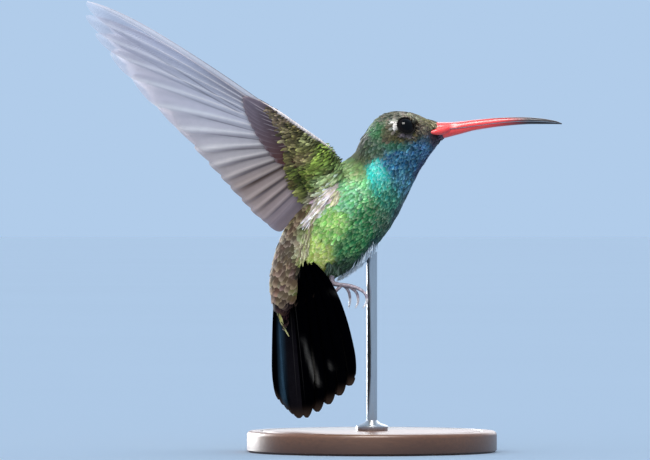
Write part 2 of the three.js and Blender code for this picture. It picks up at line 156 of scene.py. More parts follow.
def spline(values: Array, t: Array) -> Array:
    """Catmull-Rom values through equally spaced rows.

    Args:
        values: One row for each station.
        t: Places from 0, the first station, to 1, the last.

    Returns:
        One row of values for each place.
    """
    values = np.asarray(values, float)
    x = np.clip(np.asarray(t, float), 0, 1) * (len(values) - 1)
    i = np.minimum(np.floor(x).astype(int), len(values) - 2)
    f = (x - i).reshape(-1, *[1] * (values.ndim - 1))
    last = len(values) - 1
    a, b, c, d = (values[np.clip(i + k, 0, last)] for k in (-1, 0, 1, 2))
    square = 2 * a - 5 * b + 4 * c - d
    cube = 3 * b - a - 3 * c + d
    return 0.5 * (2 * b + (c - a) * f + square * f**2 + cube * f**3)


def unit(vectors: Array) -> Array:
    """Rows of vectors at length 1."""
    return vectors / np.maximum(np.linalg.norm(vectors, axis=-1, keepdims=True), 1e-12)


def smoothstep(low: float, high: float, x: Array) -> Array:
    """Rises smoothly from 0 at low to 1 at high."""
    share = np.clip((np.asarray(x, float) - low) / (high - low), 0, 1)
    return share * share * (3 - 2 * share)


def hill(gap: Array, reach: float) -> Array:
    """Falls smoothly from 1 at a gap of 0, and is nearly 0 at twice the reach."""
    return np.exp(-((gap / reach) ** 2))


def mix(a: Array, b: Array, share: Array) -> Array:
    """Blends rows of a into rows of b by one share for each row."""
    share = np.asarray(share, float)[..., None]
    return np.asarray(a) * (1 - share) + np.asarray(b) * share


def turns_round(number: int) -> Array:
    """Equal steps of a full turn, in radians."""
    return np.linspace(0, FULL_TURN, number, endpoint=False)


def in_surface(lie: Array, outward: Array) -> Array:
    """Turns directions into the surface that faces outward."""
    return unit(lie - outward * np.sum(lie * outward, axis=1)[:, None])


def near_line(across: Array, up: Array, line: Sequence[float]) -> tuple[Array, Array]:
    """Places seen from a straight line.

    Args:
        across, up: The places.
        line: Across and up of its start, then of its end.

    Returns:
        How far along it, from 0 to 1, each place is nearest, and how far off the line it is.
    """
    x0, y0, x1, y1 = line
    reach = math.hypot(x1 - x0, y1 - y0) ** 2
    share = np.clip(((across - x0) * (x1 - x0) + (up - y0) * (y1 - y0)) / reach, 0, 1)
    return share, np.hypot(across - x0 - share * (x1 - x0), up - y0 - share * (y1 - y0))


# ------------------------------------------------------------------ meshes


def add_values(mesh: bpy.types.Mesh, label: str, kind: str, rows: Array) -> None:
    """Adds one value for each point.

    Args:
        mesh: The mesh.
        label: The value's name.
        kind: FLOAT, FLOAT_VECTOR or FLOAT_COLOR.
        rows: One row for each point.
    """
    key = {"FLOAT": "value", "FLOAT_VECTOR": "vector", "FLOAT_COLOR": "color"}[kind]
    if kind == "FLOAT_COLOR":
        rows = np.concatenate([rows, np.ones((len(rows), 1))], axis=1)
    attribute = mesh.attributes.new(label, kind, "POINT")
    attribute.data.foreach_set(key, rows.astype(np.float32).ravel())


def add_object(name: str, data: bpy.types.ID) -> bpy.types.Object:
    """Puts a mesh, light or camera in the scene, as an object.

    Args:
        name: The object's name.
        data: The mesh, light or camera.

    Returns:
        The object.
    """
    made = bpy.data.objects.new(name, data)
    bpy.context.scene.collection.objects.link(made)
    return made


@dataclass
class MeshDraft:
    """Points, faces and per-point values in millimetres, gathered part by part."""

    points: list[Array] = field(default_factory=list)
    faces: list[tuple[int, ...]] = field(default_factory=list)
    values: dict[str, list[Array]] = field(default_factory=dict)
    count: int = 0

    def add(self, points: Array, faces: Sequence[Sequence[int]], **values: Array) -> None:
        """Adds one part.

        Args:
            points: Its points, in millimetres.
            faces: Its faces, as indices into those points.
            values: Named values, one row for each point. Three columns make a colour, two a UV
                map and one a number.
        """
        self.points.append(np.asarray(points, float))
        self.faces.extend(tuple(int(k) + self.count for k in face) for face in faces)
        for name, rows in values.items():
            self.values.setdefault(name, []).append(np.asarray(rows, float))
        self.count += len(points)

    def build(self, name: str, material: bpy.types.Material | None = None) -> bpy.types.Object:
        """Makes the object: smooth shaded, its faces turned outwards, and in the scene.

        Args:
            name: The object's name.
            material: Its finish, if it has one.

        Returns:
            The object.
        """
        mesh = bpy.data.meshes.new(name)
        mesh.from_pydata((np.concatenate(self.points) * MM).tolist(), [], self.faces)
        corners = np.zeros(len(mesh.loops), np.int32)
        mesh.loops.foreach_get("vertex_index", corners)
        for label, parts in self.values.items():
            rows = np.concatenate(parts)
            if rows.ndim == 2 and rows.shape[1] == 2:
                layer = mesh.uv_layers.new(name=label)
                layer.uv.foreach_set("vector", rows[corners].astype(np.float32).ravel())
            else:
                add_values(mesh, label, "FLOAT_COLOR" if rows.ndim == 2 else "FLOAT", rows)
        mesh.validate()
        mesh.update()
        if material:
            mesh.materials.append(material)
        mesh.shade_smooth()
        mesh.set_sharp_from_angle(angle=CREASE)
        work = bmesh.new()
        work.from_mesh(mesh)
        bmesh.ops.recalc_face_normals(work, faces=work.faces)
        work.to_mesh(mesh)
        work.free()
        return add_object(name, mesh)


def band_faces(rings: int, sides: int) -> list[tuple[int, ...]]:
    """Joins neighbouring rings of points.

    Args:
        rings: How many rings there are.
        sides: Points in each ring.

    Returns:
        Four-sided faces, as indices.
    """
    faces = []
    for i in range(rings - 1):
        for j in range(sides):
            a, b = i * sides + j, i * sides + (j + 1) % sides
            faces.append((a, b, b + sides, a + sides))
    return faces


def tube_faces(rings: int, sides: int) -> list[tuple[int, ...]]:
    """Faces of a skin over rings of points, closed at both ends."""
    ends = [tuple(range(sides - 1, -1, -1)), tuple(range((rings - 1) * sides, rings * sides))]
    return band_faces(rings, sides) + ends


def sweep(path: Array, radii: Array, sides: int, flatten: float = 1.0) -> Array:
    """Rings of points round a path.

    Args:
        path: Points of the centre line.
        radii: One radius for each point.
        sides: Points in each ring.
        flatten: Depth of the section as a share of its width.

    Returns:
        Ring points, one after another.
    """
    ahead = unit(np.gradient(path, axis=0))
    across = unit(np.cross(ahead, np.array([0.13, 1.0, 0.07])))
    up = np.cross(across, ahead)
    turns = turns_round(sides)[None, :, None]
    ring = np.cos(turns) * up[:, None, :] * flatten + np.sin(turns) * across[:, None, :]
    return (path[:, None, :] + ring * np.asarray(radii)[:, None, None]).reshape(-1, 3)


# ------------------------------------------------------------------ node trees


class NodeSketch:
    """Adds and joins nodes in one tree."""

    def __init__(self, tree: bpy.types.NodeTree) -> None:
        """Starts on a tree, which it leaves as it is."""
        self.tree = tree

    def add(self, kind: str, inputs: dict | None = None, **settings: object) -> bpy.types.Node:
        """Adds a node.

        Args:
            kind: The node's Blender type.
            inputs: Values or sockets for its inputs, by name, index or identifier.
            settings: Its properties.

        Returns:
            The node.
        """
        node = self.tree.nodes.new(kind)
        for name, value in settings.items():
            setattr(node, name, value)
        by_identifier = {socket.identifier: socket for socket in node.inputs}
        for key, value in (inputs or {}).items():
            self.feed(by_identifier[key] if key in by_identifier else node.inputs[key], value)
        return node

    def feed(self, socket: bpy.types.NodeSocket, value: object) -> None:
        """Sets an input to a value, or links it to another node's output.

        Args:
            socket: The input.
            value: A value, or the output that feeds it.
        """
        if isinstance(value, bpy.types.NodeSocket):
            self.tree.links.new(value, socket)
        elif socket.type == "RGBA":
            socket.default_value = (*value, 1)
        else:
            socket.default_value = value

    def math(self, operation: str, *values: object) -> bpy.types.NodeSocket:
        """A Math node on up to three values, and its result."""
        return self.add("ShaderNodeMath", dict(enumerate(values)), operation=operation).outputs[0]

    def blend(self, share: object, a: object, b: object, how: str = "MIX") -> bpy.types.NodeSocket:
        """Adds a colour Mix node.

        Args:
            share: 0 for all a, 1 for all b.
            a, b: The two colours.
            how: The blend type.

        Returns:
            The mixed colour.
        """
        inputs = {"Factor_Float": share, "A_Color": a, "B_Color": b}
        node = self.add("ShaderNodeMix", inputs, data_type="RGBA", blend_type=how)
        return next(s for s in node.outputs if s.identifier == "Result_Color")

    def spread(self, value: object, low: object, high: object, out: tuple = (0, 1)) -> object:
        """A smooth Map Range node from low and high to the two values of out."""
        inputs = {"Value": value, "From Min": low, "From Max": high, "To Min": out[0], "To Max": out[1]}
        return self.add("ShaderNodeMapRange", inputs, interpolation_type="SMOOTHSTEP").outputs["Result"]

    def attribute(self, name: str, output: str = "Fac") -> bpy.types.NodeSocket:
        """A value that rides on the mesh."""
        return self.add("ShaderNodeAttribute", attribute_name=name).outputs[output]

    def place(self, scale: Colour | None = None, centre: Colour = (0.0, 0.0, 0.0)) -> bpy.types.NodeSocket:
        """Adds Object coordinates, stretched and moved where a scale is given.

        Args:
            scale: Stretch along each axis.
            centre: How far they move, in metres.

        Returns:
            The coordinates.
        """
        place = self.add("ShaderNodeTexCoord").outputs["Object"]
        if scale is None:
            return place
        return self.add("ShaderNodeMapping", {"Vector": place, "Location": centre, "Scale": scale}).outputs[0]

    def mottle(self, scale: float, low: float, high: float, place: object = None) -> bpy.types.NodeSocket:
        """Adds the shared uneven tone.

        Args:
            scale: The grain's scale.
            low, high: The ends of the tone.
            place: Coordinates, where they aren't the object's own.

        Returns:
            The tone.
        """
        place = self.place() if place is None else place
        inputs = {"Vector": place, "Scale": scale, "Low": low, "High": high}
        return self.add("ShaderNodeGroup", inputs, node_tree=ShaderGroups.mottle()).outputs[0]

    def toned(self, colour: object, tone: object) -> bpy.types.NodeSocket:
        """A colour times a tone."""
        grey = self.add("ShaderNodeCombineColor", {0: tone, 1: tone, 2: tone}).outputs[0]
        return self.blend(1.0, colour, grey, "MULTIPLY")

    def bump(self, height: object, strength: float, distance: float) -> bpy.types.NodeSocket:
        """A Bump node, with its distance in millimetres."""
        inputs = {"Height": height, "Strength": strength, "Distance": distance * MM}
        return self.add("ShaderNodeBump", inputs).outputs["Normal"]


class ShaderGroups:
    """The shared effects, each a node group that is built once."""

    @staticmethod
    def start(name: str, vector: str, numbers: dict[str, float], outputs: Sequence[str]) -> NodeSketch:
        """Starts a group with its sockets.

        Args:
            name: The group's name.
            vector: The name of its vector input.
            numbers: Its number inputs and their values.
            outputs: Its number outputs.

        Returns:
            A sketch on the group.
        """
        tree = bpy.data.node_groups.new(name, "ShaderNodeTree")
        face = tree.interface
        face.new_socket(vector, in_out="INPUT", socket_type="NodeSocketVector")
        for label, value in numbers.items():
            socket = face.new_socket(label, in_out="INPUT", socket_type="NodeSocketFloat")
            socket.default_value = value
        for label in outputs:
            face.new_socket(label, in_out="OUTPUT", socket_type="NodeSocketFloat")
        return NodeSketch(tree)

    @classmethod
    def barbs(cls, name: str = "Feather barbs") -> bpy.types.NodeTree:
        """Fine barbs that slant from the shaft, the pale rim of a vane and its darker root.

        Args:
            name: The group's name.

        Returns:
            A group with inputs Vane, Barbs, Slant and Rim Width, and outputs Height, Tone, Rim
            and Root.
        """
        if name in bpy.data.node_groups:
            return bpy.data.node_groups[name]
        numbers = {"Barbs": 40.0, "Slant": 0.3, "Rim Width": 0.3}
        ink = cls.start(name, "Vane", numbers, ("Height", "Tone", "Rim", "Root"))
        given = ink.add("NodeGroupInput").outputs
        parted = ink.add("ShaderNodeSeparateXYZ", {0: given["Vane"]}).outputs
        across = ink.math("ABSOLUTE", ink.math("MULTIPLY_ADD", parted["X"], 2.0, -1.0))
        along = parted["Y"]
        slanted = ink.math("SUBTRACT", along, ink.math("MULTIPLY", across, given["Slant"]))
        waver = ink.add("ShaderNodeTexNoise", {"Vector": given["Vane"], "Scale": 9.0, "Detail": 3.0})
        wavering = ink.math("MULTIPLY_ADD", waver.outputs["Fac"], 0.05, slanted)
        turns = ink.math("MULTIPLY", wavering, ink.math("MULTIPLY", given["Barbs"], FULL_TURN))
        height = ink.math("MULTIPLY_ADD", ink.math("SINE", turns), 0.5, 0.5)
        inner = ink.math("SUBTRACT", 1.0, given["Rim Width"])
        side_rim = ink.math("MULTIPLY", ink.spread(across, inner, 1.0), ink.spread(along, 0.3, 0.7))
        made = {
            "Height": height, "Tone": ink.math("MULTIPLY_ADD", height, 0.24, 0.88),
            "Rim": ink.math("MAXIMUM", side_rim, ink.spread(along, inner, 1.0)),
            "Root": ink.spread(along, 0.15, 0.75),
        }
        ink.add("NodeGroupOutput", made)
        return ink.tree

    @classmethod
    def mottle(cls, name: str = "Mottled tone") -> bpy.types.NodeTree:
        """An uneven tone over a surface.

        Args:
            name: The group's name.

        Returns:
            A group with inputs Vector, Scale, Low and High, and output Tone.
        """
        if name in bpy.data.node_groups:
            return bpy.data.node_groups[name]
        ink = cls.start(name, "Vector", {"Scale": 400.0, "Low": 0.8, "High": 1.1}, ("Tone",))
        given = ink.add("NodeGroupInput").outputs
        grain = {"Vector": given["Vector"], "Scale": given["Scale"], "Detail": 5.0, "Roughness": 0.6}
        noise = ink.add("ShaderNodeTexNoise", grain).outputs["Fac"]
        ends = {"From Min": 0.3, "From Max": 0.7, "To Min": given["Low"], "To Max": given["High"]}
        ranged = ink.add("ShaderNodeMapRange", {"Value": noise, **ends})
        ink.add("NodeGroupOutput", {"Tone": ranged.outputs["Result"]})
        return ink.tree


# ------------------------------------------------------------------ finishes


class Finish:
    """What all finishes share: each says how it looks, and build makes it a material."""

    name: str

    def look(self, ink: NodeSketch) -> Inputs:
        """Says how the finish looks.

        Args:
            ink: A sketch on the material's nodes.

        Returns:
            Values or sockets for the shader's inputs, by name.
        """
        raise NotImplementedError

    def build(self) -> bpy.types.Material:
        """Builds the material from its look.

        Returns:
            The material.
        """
        made = bpy.data.materials.new(self.name)
        made.use_nodes = True
        ink = NodeSketch(made.node_tree)
        shader = made.node_tree.nodes["Principled BSDF"]
        for key, value in self.look(ink).items():
            ink.feed(shader.inputs[key], value)
        return made


@dataclass(frozen=True)
class FeatherFinish(Finish):
    """Feathers whose colours ride on the mesh as tint and rim, with barbs across each vane."""

    name: str
    roughness: float
    barbs: float
    slant: float
    rim_width: float
    root_shade: float = 0.45
    bump: float = 0.25
    barb_depth: float = 0.03
    specular: float = 0.2
    mottle: float = 0.18
    grain: float = 900.0
    shaft: Colour | None = None
    see_through: bool = False

    def look(self, ink: NodeSketch) -> Inputs:
        """Barbs, rim, root and mottling over the tint, and the shaft where it shows."""
        vane = ink.add("ShaderNodeUVMap", uv_map=VANE_MAP).outputs["UV"]
        values = {"Vane": vane, "Barbs": self.barbs, "Slant": self.slant, "Rim Width": self.rim_width}
        barbs = ink.add("ShaderNodeGroup", values, node_tree=ShaderGroups.barbs()).outputs
        mottle = ink.mottle(self.grain, 1 - self.mottle, 1 + self.mottle)
        rooted = ink.math("MULTIPLY_ADD", barbs["Root"], 1 - self.root_shade, self.root_shade)
        tone = ink.math("MULTIPLY", ink.math("MULTIPLY", rooted, barbs["Tone"]), mottle)
        rimmed = ink.blend(barbs["Rim"], ink.attribute("tint", "Color"), ink.attribute("rim", "Color"))
        colour = ink.toned(rimmed, tone)
        if self.shaft is not None:
            colour = ink.blend(ink.attribute("shaft"), colour, srgb(*self.shaft))
        made = {
            "Base Color": colour, "Metallic": ink.attribute("gloss"), "Roughness": self.roughness,
            "Specular IOR Level": self.specular,
            "Normal": ink.bump(barbs["Height"], self.bump, self.barb_depth),
        }
        if self.see_through:
            made["Alpha"] = ink.attribute("opacity")
        return made


@dataclass(frozen=True)
class SkinFinish(Finish):
    """The down under the feathers, in the same markings and darker."""

    name: str = "under_down"
    shade: float = 0.4
    roughness: float = 0.85
    grain: float = 1500.0

    def look(self, ink: NodeSketch) -> Inputs:
        """The tint, darkened unevenly."""
        tone = ink.mottle(self.grain, 0.5 * self.shade, 1.4 * self.shade)
        return {
            "Base Color": ink.toned(ink.attribute("tint", "Color"), tone), "Roughness": self.roughness,
            "Normal": ink.bump(tone, 0.4, 0.05),
        }


@dataclass(frozen=True)
class BillFinish(Finish):
    """Coral-red horn that darkens along the ridge and turns black at the tip."""

    name: str = "bill_horn"
    red: Colour = (224, 46, 50)
    orange: Colour = (238, 92, 78)
    dusk: Colour = (92, 22, 26)
    black: Colour = (30, 22, 24)
    tip: tuple[float, float] = (18.0, 25.5)
    ridge: tuple[float, float] = (12.0, 21.0)
    roughness: float = 0.34
    grain: float = 1800.0

    def look(self, ink: NodeSketch) -> Inputs:
        """Streaks along the bill, painted shade along the mouth line, a dusky ridge and the black tip."""
        x = ink.add("ShaderNodeSeparateXYZ", {0: ink.place()}).outputs["X"]
        streaks = ink.mottle(self.grain, 0.0, 1.0, ink.place((0.15, 1, 1)))
        warm = ink.blend(ink.math("MULTIPLY", streaks, 0.55), srgb(*self.red), srgb(*self.orange))
        # painted shade along the mouth line, where the two halves meet
        mouth_shaded = ink.blend(ink.math("MULTIPLY", ink.attribute("seam"), 0.75), warm, srgb(*self.dusk))
        ridge, tip = (ink.spread(x, low * MM, high * MM) for low, high in (self.ridge, self.tip))
        topped = ink.blend(ink.math("MULTIPLY", ink.attribute("ridge"), ridge), mouth_shaded, srgb(*self.black))
        return {
            "Base Color": ink.blend(tip, topped, srgb(*self.black)), "Roughness": self.roughness,
            "Subsurface Weight": 0.15, "Subsurface Scale": 0.5 * MM, "Coat Weight": 0.15,
            "Coat Roughness": 0.2, "Normal": ink.bump(streaks, 0.25, 0.04),
        }


@dataclass(frozen=True)
class EyeFinish(Finish):
    """A near-black iris round the pupil under a wet cornea."""

    name: str = "eye_wet"
    iris: Colour = (12, 8, 7)
    pupil: Colour = (3, 3, 4)
    pupil_edge: tuple[float, float] = (0.86, 0.9)
    grain: float = 2500.0

    def look(self, ink: NodeSketch) -> Inputs:
        """Iris fibres round a plain pupil."""
        iris = ink.toned(srgb(*self.iris), ink.mottle(self.grain, 0.6, 1.3))
        pupil = ink.spread(ink.attribute("facing"), *self.pupil_edge)
        return {
            "Base Color": ink.blend(pupil, iris, srgb(*self.pupil)), "Roughness": 0.05,
            "Specular IOR Level": 0.1,
        }


@dataclass(frozen=True)
class HideFinish(Finish):
    """Bare skin or horn: lids, legs and claws."""

    name: str
    light: Colour
    dark: Colour
    roughness: float
    grain: float
    bump: float = 0.4
    specular: float = 0.4

    def look(self, ink: NodeSketch) -> Inputs:
        """A fine grain between the dark and the light tone."""
        tone = ink.mottle(self.grain, 0.0, 1.0)
        return {
            "Base Color": ink.blend(tone, srgb(*self.dark), srgb(*self.light)), "Roughness": self.roughness,
            "Specular IOR Level": self.specular, "Normal": ink.bump(tone, self.bump, 0.05),
        }


@dataclass(frozen=True)
class WoodFinish(Finish):
    """Oiled walnut with its rings running straight through the turned base."""

    name: str = "oiled_walnut"
    light: Colour = (104, 68, 44)
    dark: Colour = (52, 32, 21)
    ring_spacing: float = 2.2
    roughness: float = 0.4
    grain: float = 2600.0

    def look(self, ink: NodeSketch) -> Inputs:
        """Rings and pores along the log, under oil."""
        log_axis = ink.place((0.12, 1.0, 1.0), (0.0, 0.012, 0.03))
        scale = 1 / (self.ring_spacing * MM * 20)
        waves = {"Vector": log_axis, "Scale": scale, "Distortion": 5.0, "Detail": 3.0}
        rings = ink.add("ShaderNodeTexWave", waves, wave_type="RINGS", rings_direction="X")
        pores = ink.mottle(self.grain, 0.6, 1.1, log_axis)
        tone = ink.math("MULTIPLY", rings.outputs["Fac"], pores)
        return {
            "Base Color": ink.blend(tone, srgb(*self.dark), srgb(*self.light)), "Roughness": self.roughness,
            "Coat Weight": 0.2, "Coat Roughness": 0.25, "Normal": ink.bump(pores, 0.2, 0.08),
        }


@dataclass(frozen=True)
class SteelFinish(Finish):
    """Steel brushed along the rod."""

    name: str = "brushed_steel"
    colour: Colour = (186, 188, 190)
    grain: float = 9000.0

    def look(self, ink: NodeSketch) -> Inputs:
        """Drawn lines that vary the tone and the roughness."""
        lines = ink.mottle(self.grain, 0.22, 0.42, ink.place((1, 1, 0.04)))
        tone = ink.spread(lines, 0.2, 0.45, (1.05, 0.9))
        return {"Base Color": ink.toned(srgb(*self.colour), tone), "Metallic": 1.0, "Roughness": lines}


@dataclass(frozen=True)
class FloorFinish(Finish):
    """A plain matt floor."""

    name: str = "pale_floor"
    tone: Colour = (0.96, 0.96, 0.96)

    def look(self, ink: NodeSketch) -> Inputs:
        """One tone, very slightly uneven."""
        return {"Base Color": ink.toned(self.tone, ink.mottle(3.0, 0.99, 1.01)), "Roughness": 0.9}


# ------------------------------------------------------------------ the body's form


@dataclass(frozen=True)
class BodyForm:
    """The feathered outline of head, neck, torso and rump, as in the solids.

    Each station holds x and z of its end on the back, x and z of its end on the underside, its
    half width and how egg-shaped it is.
    """

    stations: tuple[tuple[float, ...], ...] = (
        (10.2, 52.9, 11.5, 50.0, 1.5, 0.0), (8.6, 53.6, 10.4, 48.6, 2.8, 0.05),
        (6.2, 54.5, 9.1, 46.8, 4.4, 0.18), (3.5, 54.7, 7.8, 44.8, 5.2, 0.24),
        (1.0, 53.8, 6.7, 42.7, 5.4, 0.2), (-1.2, 51.2, 5.5, 40.2, 5.3, 0.05),
        (-2.8, 48.3, 4.2, 37.6, 5.6, -0.05), (-4.8, 46.6, 2.4, 34.8, 6.6, 0.05),
        (-8.3, 43.9, -0.4, 31.5, 7.0, 0.08), (-11.9, 39.6, -3.6, 28.9, 5.9, 0.05),
        (-14.8, 34.3, -7.4, 26.9, 3.3, 0.0), (-16.4, 28.8, -10.2, 25.0, 2.7, 0.0),
        (-16.2, 24.3, -12.3, 23.0, 2.2, 0.0), (-15.0, 21.6, -13.2, 21.2, 0.8, 0.0),
    )
    search: tuple[int, int] = (240, 160)
    step: float = 0.004

    def points(self, t: Array, angle: Array, grow: float = 0.0) -> Array:
        """Points of the surface.

        Args:
            t: Places from 0, round the bill, to 1, at the ends of the tail coverts.
            angle: Turns from the back, 0, over the left side to the underside, pi.
            grow: How far the points stand out from the surface.

        Returns:
            One row of x, y and z for each place.
        """
        rows = spline(self.stations, t)
        back, belly = (np.insert(rows[:, k : k + 2], 1, 0.0, axis=1) for k in (0, 2))
        up = back - belly
        half_depth = np.linalg.norm(up, axis=1) / 2 + grow
        half_width = (rows[:, 4] + grow) * (1 + rows[:, 5] * np.cos(angle))
        made = (back + belly) / 2 + unit(up) * (half_depth * np.cos(angle))[:, None]
        made[:, 1] += half_width * np.sin(angle)
        return made

    def find(self, x: Array, z: Array, side: Side) -> tuple[Array, Array]:
        """Finds the places of the surface that show at side-view points.

        Args:
            x, z: The points, in millimetres.
            side: The side that they are seen from.

        Returns:
            Places along and turns round the body.
        """
        places, turns = np.linspace(0, 1, self.search[0]), np.linspace(0.02, 3.12, self.search[1])
        t, angle = (grid.ravel() for grid in np.meshgrid(places, turns))
        shown = self.points(t, angle)
        best = ((shown[:, 0] - x[:, None]) ** 2 + (shown[:, 2] - z[:, None]) ** 2).argmin(axis=1)
        return t[best], angle[best] * side.value

    def directions(self, t: Array, angle: Array) -> tuple[Array, Array]:
        """Which way the surface faces, and which way its feathers lie, towards the tail.

        Args:
            t: Places along the body.
            angle: Turns round it.

        Returns:
            Outward and lying directions, each of length 1.
        """
        after, before = np.clip(t + self.step, 0, 1), np.clip(t - self.step, 0, 1)
        ahead = self.points(after, angle) - self.points(before, angle)
        around = self.points(t, angle + self.step) - self.points(t, angle - self.step)
        outward = unit(np.cross(around, ahead))
        centre = (self.points(t, angle * 0) + self.points(t, angle * 0 + HALF_TURN)) / 2
        outward[np.sum(outward * (self.points(t, angle) - centre), axis=1) < 0] *= -1
        return outward, unit(ahead)


# ------------------------------------------------------------------ markings


@dataclass(frozen=True)
class Patch:
    """A soft patch of plumage, placed in side view by its centre's x and z."""

    name: str
    centre: tuple[float, float]
    reach: tuple[float, float]
    turn: float
    tint: Colour
    rim: Colour
    gloss: float
    uneven: float = 0.25

    def weight(self, x: Array, z: Array) -> Array:
        """Weighs the patch against the others at side-view places.

        Args:
            x, z: The places.

        Returns:
            One weight for each place.
        """
        turn = math.radians(self.turn)
        dx, dz = x - self.centre[0], z - self.centre[1]
        along = (dx * math.cos(turn) + dz * math.sin(turn)) / self.reach[0]
        across = (dz * math.cos(turn) - dx * math.sin(turn)) / self.reach[1]
        return np.exp(-1.6 * (along**2 + across**2)) + 1e-9 / (1 + along**2 + across**2)


@dataclass(frozen=True)
class Plumage:
    """Every patch of the bird's small feathers; skin and coat read their colours here."""

    patches: tuple[Patch, ...] = (
        # head
        Patch("forehead", (8.6, 53.0), (1.8, 0.9), -25, (78, 75, 46), (120, 112, 82), 0.15, 0.35),
        Patch("crown", (5.0, 54.3), (3.2, 0.8), 0, (52, 51, 42), (92, 88, 76), 0.15, 0.45),
        Patch("brow", (6.0, 53.55), (1.8, 0.4), -16, (110, 104, 88), (160, 154, 136), 0.0, 0.15),
        Patch("hind_crown", (1.6, 53.4), (1.8, 1.2), 35, (55, 65, 49), (100, 95, 82), 0.25, 0.45),
        Patch("ear", (0.9, 51.7), (1.1, 1.4), 0, (35, 78, 46), (76, 112, 78), 0.3, 0.45),
        Patch("nape", (-1.8, 49.0), (1.5, 2.4), 30, (24, 29, 20), (50, 56, 42), 0.15, 0.45),
        Patch("neck_side", (0.2, 48.6), (1.4, 1.4), 0, (46, 67, 48), (95, 105, 88), 0.25, 0.5),
        Patch("temple", (2.5, 50.9), (0.9, 1.5), 0, (52, 49, 35), (79, 74, 57), 0.1, 0.35),
        Patch("cheek", (4.2, 49.9), (1.7, 0.8), -10, (46, 42, 24), (72, 67, 41), 0.1, 0.35),
        Patch("jaw", (4.2, 48.8), (2.4, 0.7), -5, (36, 76, 54), (63, 100, 84), 0.3, 0.45),
        Patch("lores", (8.2, 51.9), (1.3, 0.9), 0, (64, 56, 47), (98, 88, 73), 0.05, 0.35),
        Patch("under_eye", (6.3, 50.4), (1.4, 0.5), 0, (49, 45, 14), (67, 62, 22), 0.05),
        Patch("malar", (8.1, 49.8), (1.2, 0.5), -10, (40, 54, 60), (74, 90, 94), 0.3, 0.5),
        Patch("under_lid", (5.5, 50.5), (1.2, 0.3), 0, (98, 84, 92), (126, 112, 120), 0.0, 0.1),
        # throat
        Patch("chin", (10.2, 49.6), (1.2, 1.0), 0, (41, 22, 26), (71, 41, 42), 0.3, 0.5),
        Patch("throat", (7.6, 48.2), (2.2, 1.4), 0, (44, 94, 125), (107, 142, 164), 0.6, 0.6),
        Patch("gorget", (4.8, 46.2), (2.6, 1.6), 20, (33, 84, 113), (92, 130, 142), 0.6, 0.6),
        Patch("low_gorget", (5.0, 43.4), (1.8, 1.6), 60, (53, 101, 119), (114, 167, 169), 0.6, 0.8),
        # painted shade: a darker band along the throat's front edge, which faces away from the light
        Patch("throat_keel", (8.0, 46.0), (4.2, 0.5), 57, (20, 28, 58), (40, 52, 88), 0.4, 0.5),
        Patch("turquoise", (1.1, 44.2), (1.3, 1.7), 20, (51, 175, 160), (129, 193, 177), 0.5, 0.4),
        Patch("teal", (2.4, 41.2), (1.6, 2.0), 30, (43, 114, 96), (110, 163, 130), 0.55, 0.65),
        # breast and belly
        Patch("shoulder", (-3.8, 44.4), (1.6, 1.5), 0, (90, 112, 66), (126, 144, 100), 0.3),
        Patch("side", (-3.4, 41.0), (1.8, 2.2), 0, (97, 160, 106), (142, 185, 143), 0.45, 0.4),
        Patch("breast", (-1.2, 38.2), (2.0, 2.0), 40, (54, 125, 72), (125, 157, 110), 0.5, 0.45),
        Patch("low_breast", (1.2, 37.4), (1.3, 2.4), 35, (50, 93, 67), (121, 135, 105), 0.5, 0.6),
        Patch("flank", (-6.6, 35.4), (2.4, 1.8), 45, (123, 175, 86), (181, 203, 128), 0.45, 0.4),
        Patch("low_flank", (-8.8, 31.8), (1.9, 2.2), 20, (184, 200, 96), (229, 226, 148), 0.35),
        Patch("belly", (-3.4, 33.6), (2.4, 1.6), 45, (49, 115, 67), (120, 165, 104), 0.5, 0.6),
        Patch("vent", (-4.6, 29.8), (1.8, 1.2), 35, (40, 64, 44), (86, 112, 84), 0.3),
        # painted shade: keel and low keel darken the front edge of breast and belly, which face away from the
        # light
        Patch("keel", (4.0, 38.0), (3.2, 0.6), 66, (46, 60, 62), (84, 102, 102), 0.2),
        Patch("low_keel", (0.4, 32.8), (3.2, 0.8), 46, (30, 54, 46), (62, 96, 88), 0.25),
        Patch("flank_fringe", (-11.7, 32.4), (0.7, 1.3), 0, (150, 134, 104), (200, 186, 152), 0.05),
        Patch("flank_olive", (-11.0, 35.4), (0.5, 1.2), 0, (92, 92, 54), (146, 142, 98), 0.1),
        # back
        Patch("mantle_edge", (-3.0, 46.9), (2.2, 0.8), -10, (62, 70, 46), (108, 110, 80), 0.1),
        Patch("mantle", (-8.6, 41.6), (2.6, 1.2), 45, (112, 102, 64), (176, 156, 118), 0.2),
        Patch("back", (-12.4, 37.0), (2.2, 1.4), 60, (101, 83, 62), (167, 147, 111), 0.05, 0.12),
        Patch("low_back", (-14.6, 31.6), (3.0, 1.2), 75, (93, 77, 62), (159, 140, 119), 0.05, 0.12),
        Patch("rump", (-14.8, 26.6), (2.6, 1.8), 85, (87, 68, 54), (149, 126, 104), 0.05, 0.12),
        Patch("tail_base", (-9.6, 27.4), (1.3, 2.2), 80, (4, 4, 4), (6, 6, 6), 0.2),
        Patch("rump_green", (-12.5, 25.0), (0.7, 1.3), 85, (113, 102, 58), (163, 143, 109), 0.2),
        Patch("coverts", (-14.2, 22.4), (1.4, 1.6), 85, (18, 10, 14), (62, 44, 41), 0.2),
    )
    spot_centre: tuple[float, float] = (3.45, 52.1)
    spot_reach: tuple[float, float] = (0.5, 1.0)
    spot_tint: Colour = (202, 194, 186)
    streaks: tuple[tuple[float, ...], ...] = ((-6.2, 43.0, -9.4, 39.4), (-6.0, 41.4, -9.2, 37.4))
    streak_half_width: float = 0.5
    streak_strength: float = 0.85
    streak_tint: Colour = (216, 196, 196)

